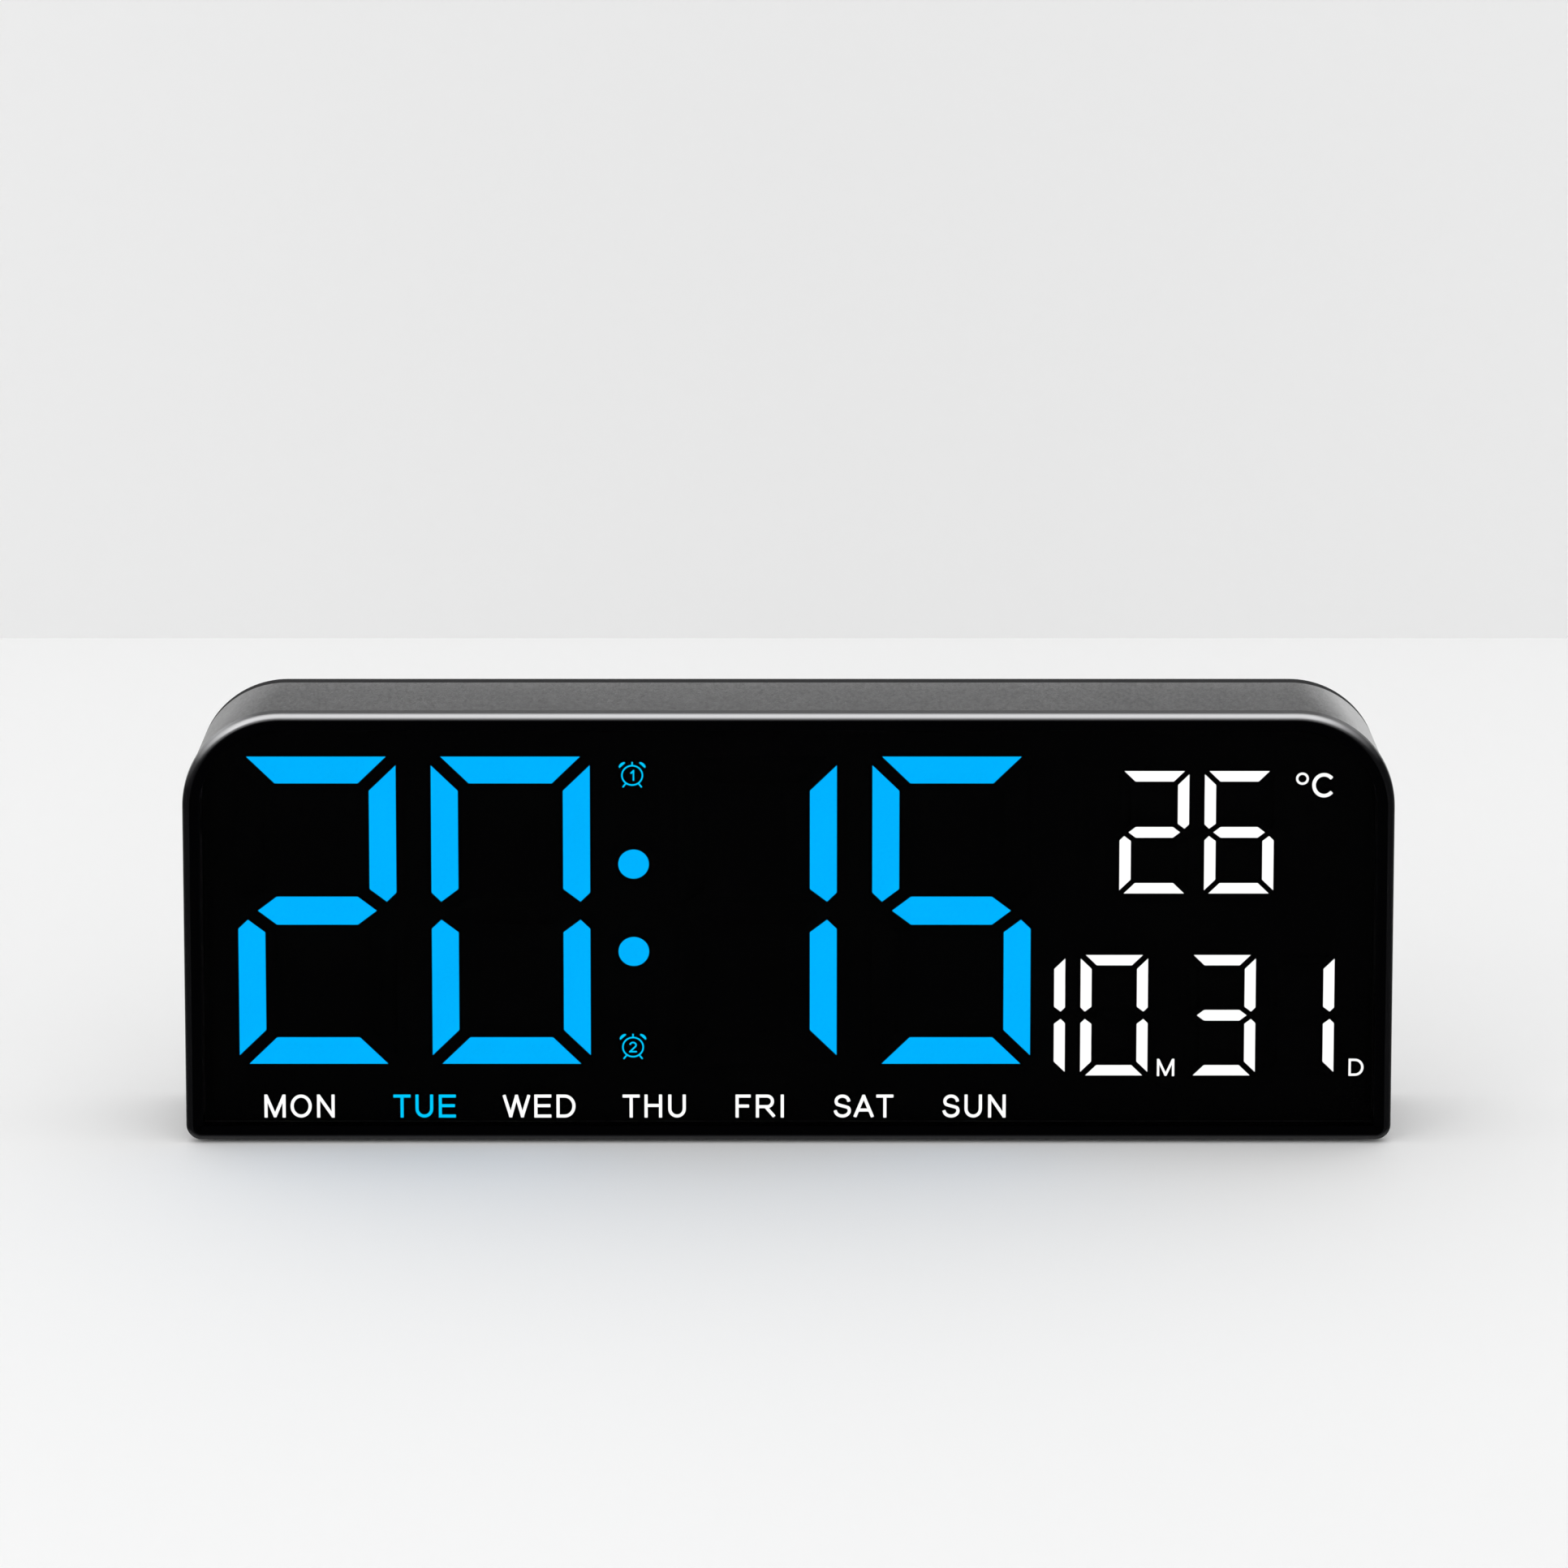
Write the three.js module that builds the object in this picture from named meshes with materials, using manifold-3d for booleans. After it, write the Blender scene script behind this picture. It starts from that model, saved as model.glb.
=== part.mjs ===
// Digital clock for a wall or a shelf. A smoked one-piece front covers a seven-segment display,
// and a drafted case with a screwed back cover holds a battery bay, four push buttons, a power
// socket, a sounder, two keyholes and a fold-out foot.
// Millimetres. +X is right as seen from the front, +Y runs from the front to the back, +Z is up.
// The origin lies on the surface that the clock stands on, midway between its front and back.
import * as THREE from 'three';
import { mergeVertices } from 'three/addons/utils/BufferGeometryUtils.js';
import Module from 'manifold-3d';

const wasm = await Module();
wasm.setup();

// Front outline
const standGap = 0.5;
const topCornerRadius = 17.5;
const bottomCornerRadius = 3.6;

// Front lens and the tape that holds it
const lensThickness = 2.6;
const lensEdgeRadius = 1.3;
const tapeThickness = 0.4;
const tapeWidth = 1.9;
const tapeMargin = 0.2;

// Housing
const housingStep = 0.6;
const housingRearInset = 2;
const housingWall = 2.2;
const housingRearRadius = 1;
const bossRadius = 3.3;
const bossRibWidth = 2;
const bossRibReach = 9;
const bossHoleRadius = 1.5;
const bossHoleDepth = 10;

// Display stack
const moduleGap = 0.3;
const filmThickness = 0.2;
const shieldDepth = 6;
const diffuserPlate = 0.5;
const diffuserRib = 1.2;
const diffuserGap = 0.3;
const displayBoardThickness = 1.6;

// Seven-segment digits: overall size, bar width, and where the bars' ends are cut
const largeDigit = {
  w: 29.5, h: 60.6, bar: 5.3, corner: 1.7, tipInset: 1.85, tipGap: 1.84, crossInset: 3.9,
  flare: 0.5, margin: 1.2, lamp: [3.2, 1.2, 2.6],
};
const smallDigit = {
  w: 13.3, h: 24.05, bar: 2.35, corner: 0.95, tipInset: 0.87, tipGap: 0.62, crossInset: 1.62,
  flare: 0.15, margin: 0.75, lamp: [1.1, 0.7, 1.1],
};
const tipSlope = 0.78;

// Gaps between the display's parts, from the left edge to the right
const leftMargin = 10.25;
const digitGap = 6.5;
const colonGap = 16.4;
const columnGap = 4.5;
const monthGap = 2.1;
const letterRoom = 6.7;
const dayGap = 1.4;
const rightMargin = 10.4;
const temperatureGap = 2.35;
const temperatureIndent = 11.8;

// Gaps from the bottom edge to the top
const timeRise = 14.3;
const timeTopMargin = 9.1;
const temperatureTopMargin = 11.95;
const dateRise = 11.9;
const colonRise = 0.6;
const colonSpread = 8.6;
const colonDotRadius = 2.9;
const alarmIcon = { w: 5.2, h: 6.2, spread: 26.7 };
const degreeSign = { w: 8.4, h: 6.4, gap: 3.2, drop: 2.75 };
const unitLetter = { w: 4.2, h: 4.4, rise: 1.75, monthGap: 3.05, dayGap: 3.85 };
const weekdayWidths = [13.3, 11.8, 13.8, 12, 9.1, 11.5, 12.2];
const weekdayIndent = 4.2;
const weekdayRise = 6.15;
const weekdayHeight = 4.3;
const weekdayMargin = 0.6;

// Back cover and its screws
const coverThickness = 2.2;
const coverGap = 0.25;
const topScrewInset = 11;
const bottomScrewInset = 8.9;
const bottomScrewRise = 7.7;
const screwHeadRadius = 2.5;
const screwHeadHeight = 1.1;
const screwSink = 1.2;
const screwShankRadius = 1.2;
const screwShankLength = 9;
const screwHeadGap = 0.4;
const pocketScrewGap = 7.5;

// Keyholes for a wall screw's head
const keyholeSpacing = 150;
const keyholeDrop = 20.5;
const keyholeEntryRadius = 4.25;
const keyholeSlotRadius = 2.1;
const keyholeRise = 7;

// Battery bay: cells side by side, each turned the other way
const cellRadius = 5.25;
const cellLength = 44.5;
const cellNubRadius = 1.9;
const cellNubLength = 0.8;
const cellCount = 3;
const cellSpacing = 0.4;
const bayPocketGap = 14.35;
const bayRise = 13.55;
const bayClearance = 0.6;
const bayWall = 2.2;
const bayFloor = 1.4;
const bayFrontRoom = 2.9;
const contactThickness = 0.4;
const contactBump = 1;
const contactBumpRadius = 1.6;
const contactWidth = 8.6;
const contactHeight = 9.4;
const springLength = 4.6;
const springWire = 0.35;
const springRadius = 3;
const springTaper = 0.9;
const springTurns = 2.5;
const solderTabWidth = 2.2;
const solderTabReach = 1.1;

// Battery door
const doorThickness = 2;
const doorLedge = 1;
const doorGap = 0.25;
const doorSeatGap = 0.3;
const doorTabWidth = 7;
const doorTabSpread = 15;
const doorTabReach = 1.6;
const doorTabThickness = 1.4;
const doorTabGap = 0.3;
const doorTabRoom = 0.7;
const latchWidth = 12;
const latchLength = 8;
const latchSlit = 0.8;
const grooveCount = 3;
const groovePitch = 1.6;
const grooveWidth = 0.7;
const grooveDepth = 0.5;
const grooveLength = 8.4;
const thumbScoopHeight = 4;
const thumbScoopDepth = 1.2;

// Control board
const boardThickness = 1.6;
const boardWidth = 66;
const boardPocketGap = 14;
const boardRise = 11.5;
const boardCornerRadius = 1.5;
const boardStandoff = 6.2;
const postRadius = 2.6;
const postHoleRadius = 1.1;
const postInset = [4, 3.5];
const boardScrewShankRadius = 0.9;
const boardScrewShankLength = 6;
const boardScrewHeadRadius = 2;
const boardScrewHeadHeight = 1;

// Push buttons and the switches behind them
const buttonNames = ['mode', 'set', 'up', 'down'];
const buttonInset = 12;
const buttonTopInset = 8;
const buttonPitch = 13;
const buttonRadius = 3.5;
const buttonGap = 0.3;
const buttonFlangeRadius = 4.6;
const buttonFlangeHeight = 1;
const buttonDish = 0.35;
const buttonRim = 0.6;
const buttonStemRadius = 1.4;
const buttonTravel = 0.5;
const buttonBelowBack = 0.2;
const buttonPanelDepth = 0.8;
const buttonPanelMargin = 3;
const buttonPanelGap = 4.25;
const switchSize = 6;
const switchHeight = 3.4;
const plungerRadius = 1.7;
const plungerHeight = 1.1;
const plungerInside = 1.6;
const plungerGap = 0.3;

// Power socket, sounder, sensor and vents, placed from the control board's lower left corner
const socketPlace = [16, 8];
const socketWidth = 8.94;
const socketHeight = 3.26;
const socketShell = 0.33;
const socketDepth = 6;
const socketBelowBack = 0.7;
const socketGap = 0.6;
const socketTongue = { w: 6.6, length: 5, h: 0.7 };
const sounderPlace = [50, 15];
const sounderRadius = 6;
const sounderGap = 0.4;
const sounderPort = 1;
const sounderPortDepth = 1.2;
const sounderBevel = 0.5;
const grilleHoleRadius = 0.9;
const grillePitch = 3.2;
const grilleOuterHoles = 6;
const ventPlace = [32, 5];
const ventCount = 4;
const ventPitch = 3;
const ventLength = 9;
const ventWidth = 1.4;
const sensorRadius = 1.2;
const sensorHeight = 4;
const sensorLegRadius = 0.4;

// Parts on the front of the control board, placed the same way
const chipPlace = [27, 28];
const chipSize = [10.4, 1.6, 4];
const chipLegs = 7;
const chipPitch = 1.27;
const chipLegSize = [0.42, 1, 1.2];
const chipStandOff = 0.2;
const coinPlace = [50, 24];
const coinRadius = 10;
const coinThickness = 3.2;
const coinRim = 1.2;
const coinStep = 0.5;
const coinGap = 0.3;
const coinHolderWall = 1;
const coinHolderFloor = 0.9;
const coinHolderDrop = 0.8;
const coinClipWidth = 5;
const coinClipReach = 1.4;
const coinClipThickness = 0.6;
const headerPlace = [11, 21];
const headerSize = [14, 2.2, 3];
const ribbonWidth = 12;
const ribbonThickness = 0.4;
const ribbonDrop = 4;
const jointGap = 0.3;
const leadRadius = 0.65;
const passivePlaces = [[24, 18], [30, 18], [36, 35], [36, 31], [6, 8], [12, 8], [20, 35], [58, 8]];
const passiveSize = [2, 0.8, 1.25];

// Fold-out foot
const footWidth = 36;
const footLength = 39;
const footThickness = 3;
const footCornerRadius = 3;
const footGap = 0.4;
const footPocketWall = 1.6;
const hingeRadius = 3;
const hingeRoom = 0.6;
const hingeInset = 4.5;
const pinRadius = 1;
const pinGap = 0.05;
const pinEngage = 1.1;
const footNotchWidth = 16;
const footNotchHeight = 5;
const footRibCount = 4;
const footRibPitch = 2.4;
const footRibWidth = 1;
const footRibDepth = 0.5;
const footRibLength = 18;

// Rubber feet
const padRadius = 4;
const padGap = 0.3;
const padSink = 0.8;
const padSideInset = 20.5;
const padFrontInset = 8.5;
const padRearInset = 6;

// The case is sized by what it holds: the display's rows and columns, and the cells behind it.
const width = leftMargin + 4 * largeDigit.w + 2 * digitGap + colonGap + columnGap + smallDigit.bar
  + monthGap + 3 * smallDigit.w + letterRoom + dayGap + rightMargin;
const height = timeRise + largeDigit.h + timeTopMargin;
const displayDepth = lensThickness + tapeThickness + shieldDepth + displayBoardThickness;
const bayDepth = bayFloor + 2 * doorSeatGap + 2 * cellRadius + doorThickness;
const depth = displayDepth + bayFrontRoom + bayDepth;

// Planes that the pieces share
const frontY = -depth / 2;
const backY = depth / 2;
const lensBackY = frontY + lensThickness;
const housingFrontY = lensBackY + tapeThickness;
const filmFrontY = housingFrontY - filmThickness;
const shieldBackY = housingFrontY + shieldDepth;
const displayBackY = shieldBackY + displayBoardThickness;
const coverFrontY = backY - coverThickness;
const draftEndY = backY - housingRearRadius;
const controlBackY = coverFrontY - boardStandoff;
const controlFrontY = controlBackY - boardThickness;
const lensBottomZ = standGap;
const lensTopZ = standGap + height;
const housingBottomZ = lensBottomZ + housingStep;
const pocketHalf = footWidth / 2 + footGap + footPocketWall;

// Where the display's parts lie, seen from the front
const hourX = -width / 2 + leftMargin + largeDigit.w / 2;
const hourUnitX = hourX + largeDigit.w + digitGap;
const minuteX = hourUnitX + largeDigit.w + colonGap;
const minuteUnitX = minuteX + largeDigit.w + digitGap;
const colonX = (hourUnitX + minuteX) / 2;
const timeZ = lensBottomZ + timeRise + largeDigit.h / 2;
const dateRight = width / 2 - rightMargin;
const dayUnitX = dateRight - smallDigit.w / 2;
const dayX = dayUnitX - smallDigit.w - dayGap;
const monthUnitX = dayX - smallDigit.w - letterRoom;
const monthX = monthUnitX - smallDigit.w - monthGap;
const dateZ = lensBottomZ + dateRise + smallDigit.h / 2;
const temperatureRight = dateRight - temperatureIndent;
const temperatureUnitX = temperatureRight - smallDigit.w / 2;
const temperatureX = temperatureUnitX - smallDigit.w - temperatureGap;
const temperatureZ = lensTopZ - temperatureTopMargin - smallDigit.h / 2;

// Where the parts behind lie, from the foot's pocket, the bottom and the top
const keyholeX = keyholeSpacing / 2;
const keyholeZ = lensTopZ - keyholeDrop;
const bayLength = 2 * contactThickness + contactBump + cellLength + springLength;
const bayHeight = cellCount * 2 * cellRadius + (cellCount - 1) * cellSpacing + 2 * bayClearance;
const bayCentreX = -(pocketHalf + bayPocketGap + bayWall + bayLength / 2);
const bayCentreZ = lensBottomZ + bayRise + bayWall + bayHeight / 2;
const buttonZ = keyholeZ - keyholeEntryRadius - buttonPanelGap - buttonPanelMargin - buttonRadius;
const boardLeft = pocketHalf + boardPocketGap;
const boardRight = boardLeft + boardWidth;
const boardBottom = lensBottomZ + boardRise;
const boardTop = buttonZ + buttonTopInset;
const onBoard = ([x, z]) => [boardLeft + x, boardBottom + z];
const postPlaces = [
  [boardLeft + postInset[0], boardTop - postInset[1]],
  [boardRight - postInset[0], boardBottom + postInset[1]],
];
const topScrewX = width / 2 - topScrewInset;
const topScrewZ = lensTopZ - topScrewInset;
const bottomScrewZ = lensBottomZ + bottomScrewRise;
const bottomScrewX = [width / 2 - bottomScrewInset, pocketHalf + pocketScrewGap];
const screwPlaces = [
  [-topScrewX, topScrewZ], [topScrewX, topScrewZ],
  ...bottomScrewX.flatMap((x) => [[-x, bottomScrewZ], [x, bottomScrewZ]]),
];
const padX = width / 2 - padSideInset;
const padPlaces = [frontY + padFrontInset, backY - padRearInset].flatMap((y) => [[-padX, y], [padX, y]]);

// How far a cutting piece runs past what it cuts, how deep fused pieces meet, and round pieces' sides
const cutPast = 1;
const fuse = 0.3;
const roundSteps = 14;
const smallSteps = 8;

// Turns a closed geometry into a solid that can be joined and cut.
function solidOf(geometry) {
  const bare = geometry.index ? geometry.toNonIndexed() : geometry.clone();
  bare.deleteAttribute('normal');
  bare.deleteAttribute('uv');
  const merged = mergeVertices(bare, 1e-4);
  return new wasm.Manifold(new wasm.Mesh({
    numProp: 3,
    vertProperties: new Float32Array(merged.attributes.position.array),
    triVerts: new Uint32Array(merged.index.array),
  }));
}

function geometryOf(solid) {
  const mesh = solid.getMesh();
  const geometry = new THREE.BufferGeometry();
  const places = new Float32Array(mesh.numVert * 3);
  for (let i = 0; i < mesh.numVert; i++) {
    places.set(mesh.vertProperties.subarray(i * mesh.numProp, i * mesh.numProp + 3), i * 3);
  }
  geometry.setAttribute('position', new THREE.BufferAttribute(places, 3));
  geometry.setIndex(new THREE.BufferAttribute(new Uint32Array(mesh.triVerts), 1));
  const flat = geometry.toNonIndexed();
  flat.computeVertexNormals();
  return flat;
}

const joined = (...solids) => solids.flat().reduce((sum, next) => sum.add(next));
const cutBy = (solid, ...tools) => tools.flat().reduce((rest, tool) => rest.subtract(tool), solid);

// A block between two corners.
function block(x0, x1, y0, y1, z0, z1) {
  const box = new THREE.BoxGeometry(x1 - x0, y1 - y0, z1 - z0);
  return solidOf(box.translate((x0 + x1) / 2, (y0 + y1) / 2, (z0 + z1) / 2));
}

// A block given by its middle in X and Z, and its reach in Y.
function blockAt(x, z, w, h, y0, y1) {
  return block(x - w / 2, x + w / 2, y0, y1, z - h / 2, z + h / 2);
}

function rodAlongY(radius, y0, y1, x, z, steps = roundSteps) {
  return solidOf(new THREE.CylinderGeometry(radius, radius, y1 - y0, steps).translate(x, (y0 + y1) / 2, z));
}

function rodAlongX(radius, x0, x1, y, z, steps = roundSteps) {
  const rod = new THREE.CylinderGeometry(radius, radius, x1 - x0, steps);
  return solidOf(rod.rotateZ(Math.PI / 2).translate((x0 + x1) / 2, y, z));
}

// A solid of revolution about a line along Y: its profile is a list of [radius, y].
function turned(profile, x, z, steps = roundSteps) {
  const points = profile.map(([radius, y]) => new THREE.Vector2(radius, y));
  return solidOf(new THREE.LatheGeometry(points, steps).translate(x, 0, z));
}

// Joins rings of equal count, listed from front to back, into one closed solid.
function loft(rings) {
  const count = rings[0].points.length;
  const positions = rings.flatMap(({ y, points }) => points.flatMap(([x, z]) => [x, y, z]));
  const index = [];
  for (let r = 0; r + 1 < rings.length; r++) {
    for (let i = 0; i < count; i++) {
      const next = (i + 1) % count;
      const front = r * count;
      const back = front + count;
      index.push(front + i, back + i, front + next, front + next, back + i, back + next);
    }
  }
  const capOf = ({ points }) => THREE.ShapeUtils.triangulateShape(
    points.map(([x, z]) => new THREE.Vector2(x, z)), []);
  const last = (rings.length - 1) * count;
  for (const [a, b, c] of capOf(rings[0])) index.push(a, b, c);
  for (const [a, b, c] of capOf(rings.at(-1))) index.push(last + a, last + c, last + b);
  const geometry = new THREE.BufferGeometry();
  geometry.setAttribute('position', new THREE.Float32BufferAttribute(positions, 3));
  geometry.setIndex(index);
  return solidOf(geometry);
}

const prism = (points, y0, y1) => loft([{ y: y0, points }, { y: y1, points }]);

// A quarter turn about a corner's centre, from one angle, in degrees.
function corner(x, z, radius, from, steps) {
  return Array.from({ length: steps + 1 }, (_, i) => {
    const angle = THREE.MathUtils.degToRad(from + 90 * i / steps);
    return [x + radius * Math.cos(angle), z + radius * Math.sin(angle)];
  });
}

// The clock's front outline, drawn in by inset, and by its own amount at the bottom.
function caseOutline(inset, bottomInset = inset) {
  const side = width / 2 - inset;
  const top = lensTopZ - inset;
  const bottom = lensBottomZ + bottomInset;
  const upper = topCornerRadius - inset;
  const lower = Math.max(bottomCornerRadius - inset, 0.4);
  return [
    ...corner(side - upper, top - upper, upper, 0, 10),
    ...corner(-side + upper, top - upper, upper, 90, 10),
    ...corner(-side + lower, bottom + lower, lower, 180, 3),
    ...corner(side - lower, bottom + lower, lower, 270, 3),
  ];
}

// A rectangle with rounded corners.
function roundedBox(x, z, w, h, radius, steps = 3) {
  return [
    ...corner(x + w / 2 - radius, z + h / 2 - radius, radius, 0, steps),
    ...corner(x - w / 2 + radius, z + h / 2 - radius, radius, 90, steps),
    ...corner(x - w / 2 + radius, z - h / 2 + radius, radius, 180, steps),
    ...corner(x + w / 2 - radius, z - h / 2 + radius, radius, 270, steps),
  ];
}

function circle(x, z, radius, steps) {
  return Array.from({ length: steps }, (_, i) => {
    const angle = 2 * Math.PI * i / steps;
    return [x + radius * Math.cos(angle), z + radius * Math.sin(angle)];
  });
}

const rectangle = (x, z, w, h) => [
  [x - w / 2, z - h / 2], [x + w / 2, z - h / 2], [x + w / 2, z + h / 2], [x - w / 2, z + h / 2],
];

// Moves each side of a convex outline inwards.
function drawnIn(points, by) {
  const lines = points.map(([x, z], i) => {
    const [nx, nz] = points[(i + 1) % points.length];
    const length = Math.hypot(nx - x, nz - z);
    const along = [(nx - x) / length, (nz - z) / length];
    return { at: [x - along[1] * by, z + along[0] * by], along };
  });
  return lines.map((line, i) => {
    const before = lines[(i + lines.length - 1) % lines.length];
    const cross = before.along[0] * line.along[1] - before.along[1] * line.along[0];
    const gap = [line.at[0] - before.at[0], line.at[1] - before.at[1]];
    const reach = (gap[0] * line.along[1] - gap[1] * line.along[0]) / cross;
    return [before.at[0] + before.along[0] * reach, before.at[1] + before.along[1] * reach];
  });
}

// How far the case's side stands in from the lens's outline at a depth.
function draftAt(y) {
  const share = (y - housingFrontY) / (draftEndY - housingFrontY);
  return housingStep + (housingRearInset - housingStep) * share;
}

const moduleOutline = caseOutline(
  draftAt(displayBackY) + housingWall + moduleGap, housingStep + housingWall + moduleGap);
const coverOutline = caseOutline(
  draftAt(coverFrontY) + housingWall + coverGap, housingStep + housingWall + coverGap);

// The bars of one digit, anticlockwise from the front, keyed by their usual letters.
function digitBars(digit, x, z) {
  const { bar, corner: cut, tipInset, tipGap, crossInset } = digit;
  const w = digit.w / 2;
  const h = digit.h / 2;
  const shoulder = tipGap + (bar - tipInset) * tipSlope;
  const rise = bar / 2;
  const run = rise / tipSlope;
  const top = [[-w + cut, h], [-w + cut + bar, h - bar], [w - cut - bar, h - bar], [w - cut, h]];
  const upper = [
    [w, h - cut], [w - bar, h - cut - bar], [w - bar, shoulder],
    [w - tipInset, tipGap], [w, tipGap + tipInset],
  ];
  const cross = [
    [-w + crossInset, 0], [-w + crossInset + run, -rise], [w - crossInset - run, -rise],
    [w - crossInset, 0], [w - crossInset - run, rise], [-w + crossInset + run, rise],
  ];
  const flipX = (points) => points.map(([px, pz]) => [-px, pz]).reverse();
  const flipZ = (points) => points.map(([px, pz]) => [px, -pz]).reverse();
  const bars = {
    a: top, b: upper, c: flipZ(upper), d: flipZ(top), e: flipX(flipZ(upper)), f: flipX(upper), g: cross,
  };
  return Object.fromEntries(Object.entries(bars).map(
    ([letter, points]) => [letter, points.map(([px, pz]) => [px + x, pz + z])]));
}

function digitWindows(digit, x, z, letters = 'abcdefg') {
  const bars = digitBars(digit, x, z);
  return [...letters].map((letter) => ({ points: bars[letter], digit }));
}

// Each window is lit by one lamp behind it.
const dotWindow = (z) => ({ points: circle(colonX, z, colonDotRadius, 12), digit: largeDigit });
const signWindow = (x, z, { w, h }) => ({ points: rectangle(x, z, w, h), digit: smallDigit });
const letterWindow = (x) => signWindow(x, lensBottomZ + dateRise + unitLetter.rise, unitLetter);

// The words for the days run under the time, with equal gaps.
function weekdayWindows() {
  const left = hourX - largeDigit.w / 2 + weekdayIndent;
  const right = minuteUnitX + largeDigit.w / 2 - weekdayIndent;
  const total = weekdayWidths.reduce((sum, w) => sum + w);
  const gap = (right - left - total) / (weekdayWidths.length - 1);
  let x = left;
  return weekdayWidths.map((w) => {
    x += w + gap;
    return signWindow(x - gap - w / 2, lensBottomZ + weekdayRise, { w: w + gap / 4, h: weekdayHeight });
  });
}

// The diffusers: the windows that each lights, and the plate that joins them.
const diffusers = {
  hour_tens_diffuser: digitWindows(largeDigit, hourX, timeZ),
  hour_units_diffuser: digitWindows(largeDigit, hourUnitX, timeZ),
  minute_tens_diffuser: digitWindows(largeDigit, minuteX, timeZ),
  minute_units_diffuser: digitWindows(largeDigit, minuteUnitX, timeZ),
  colon_diffuser: [-1, 1].flatMap((way) => [
    signWindow(colonX, timeZ + way * alarmIcon.spread, alarmIcon),
    dotWindow(timeZ + colonRise + way * colonSpread),
  ]),
  temperature_diffuser: [
    ...[temperatureX, temperatureUnitX].flatMap((x) => digitWindows(smallDigit, x, temperatureZ)),
    signWindow(temperatureRight + degreeSign.gap + degreeSign.w / 2,
      lensTopZ - temperatureTopMargin - degreeSign.drop, degreeSign),
  ],
  month_diffuser: [
    ...digitWindows(smallDigit, monthX, dateZ, 'bc'), ...digitWindows(smallDigit, monthUnitX, dateZ),
    letterWindow(monthUnitX + smallDigit.w / 2 + unitLetter.monthGap),
  ],
  day_diffuser: [
    ...[dayX, dayUnitX].flatMap((x) => digitWindows(smallDigit, x, dateZ)),
    letterWindow(dateRight + unitLetter.dayGap),
  ],
  weekday_diffuser: weekdayWindows(),
};
const allWindows = Object.values(diffusers).flat();

// The rectangle round a diffuser's windows.
function plateOf(name) {
  const points = diffusers[name].flatMap((one) => one.points);
  const margin = name === 'weekday_diffuser' ? weekdayMargin
    : Math.max(...diffusers[name].map((one) => one.digit.margin));
  const xs = points.map(([x]) => x);
  const zs = points.map(([, z]) => z);
  const left = Math.min(...xs) - margin;
  const right = Math.max(...xs) + margin;
  const bottom = Math.min(...zs) - margin;
  const top = Math.max(...zs) + margin;
  return { x: (left + right) / 2, z: (bottom + top) / 2, w: right - left, h: top - bottom };
}

function frontLens() {
  const steps = 3;
  const rings = Array.from({ length: steps + 1 }, (_, i) => {
    const angle = Math.PI / 2 * i / steps;
    return {
      y: frontY + lensEdgeRadius * (1 - Math.sin(angle)),
      points: caseOutline(lensEdgeRadius * (1 - Math.cos(angle))),
    };
  }).reverse();
  return loft([...rings, { y: lensBackY, points: caseOutline(0) }]);
}

function lensTape() {
  const outer = prism(caseOutline(housingStep + tapeMargin), lensBackY, housingFrontY);
  const inner = caseOutline(housingStep + tapeMargin + tapeWidth);
  return cutBy(outer, prism(inner, lensBackY - cutPast, housingFrontY + cutPast));
}

// The legend film is one unbroken sheet: what lets the light through is only its print.
const legendFilm = () => prism(moduleOutline, filmFrontY, housingFrontY);

// The reflector block: a tapered well behind each window, and a pocket for each diffuser plate.
function lightShield() {
  const wells = allWindows.map(({ points, digit }) => {
    const narrow = drawnIn(points, digit.flare);
    return loft([
      { y: housingFrontY - cutPast, points }, { y: housingFrontY, points },
      { y: shieldBackY, points: narrow }, { y: shieldBackY + cutPast, points: narrow },
    ]);
  });
  const pockets = Object.keys(diffusers).map((name) => {
    const { x, z, w, h } = plateOf(name);
    return blockAt(x, z, w, h, housingFrontY - cutPast, housingFrontY + diffuserPlate);
  });
  return cutBy(prism(moduleOutline, housingFrontY, shieldBackY), pockets, wells);
}

function diffuser(name) {
  const { x, z, w, h } = plateOf(name);
  const plateBackY = housingFrontY + diffuserPlate;
  const ribs = diffusers[name].map(({ points, digit }) => {
    const root = drawnIn(points, diffuserGap);
    const end = drawnIn(points, diffuserGap + digit.flare * (diffuserPlate + diffuserRib) / shieldDepth);
    return loft([
      { y: housingFrontY, points: root }, { y: plateBackY + diffuserRib, points: end },
    ]);
  });
  return joined(blockAt(x, z, w - 2 * diffuserGap, h - 2 * diffuserGap, housingFrontY, plateBackY), ribs);
}

function displayBoard() {
  const board = prism(moduleOutline, shieldBackY, displayBackY);
  const lamps = allWindows.map(({ points, digit }) => {
    const [x, z] = [0, 1].map((way) => points.reduce((sum, point) => sum + point[way], 0) / points.length);
    const [w, t, h] = digit.lamp;
    return blockAt(x, z, w, h, shieldBackY - t, shieldBackY + t / 2);
  });
  const header = blockAt(
    ...onBoard(headerPlace), headerSize[0], headerSize[2], displayBackY - fuse, displayBackY + headerSize[1]);
  return joined(board, header, lamps);
}

// Bosses stand on ribs that run out to the nearest walls.
function bossWithRibs([x, z]) {
  const boss = rodAlongY(bossRadius, displayBackY, coverFrontY, x, z, 12);
  const outX = x + Math.sign(x) * bossRibReach;
  const outZ = z > height / 2 ? z + bossRibReach : z - bossRibReach;
  const half = bossRibWidth / 2;
  const upright = block(
    x - half, x + half, displayBackY, coverFrontY, Math.min(z, outZ), Math.max(z, outZ));
  const level = block(
    Math.min(x, outX), Math.max(x, outX), displayBackY, coverFrontY, z - half, z + half);
  const nearSide = width / 2 - Math.abs(x) < 2 * bossRibReach;
  return joined(boss, upright, nearSide ? level : []);
}

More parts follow.
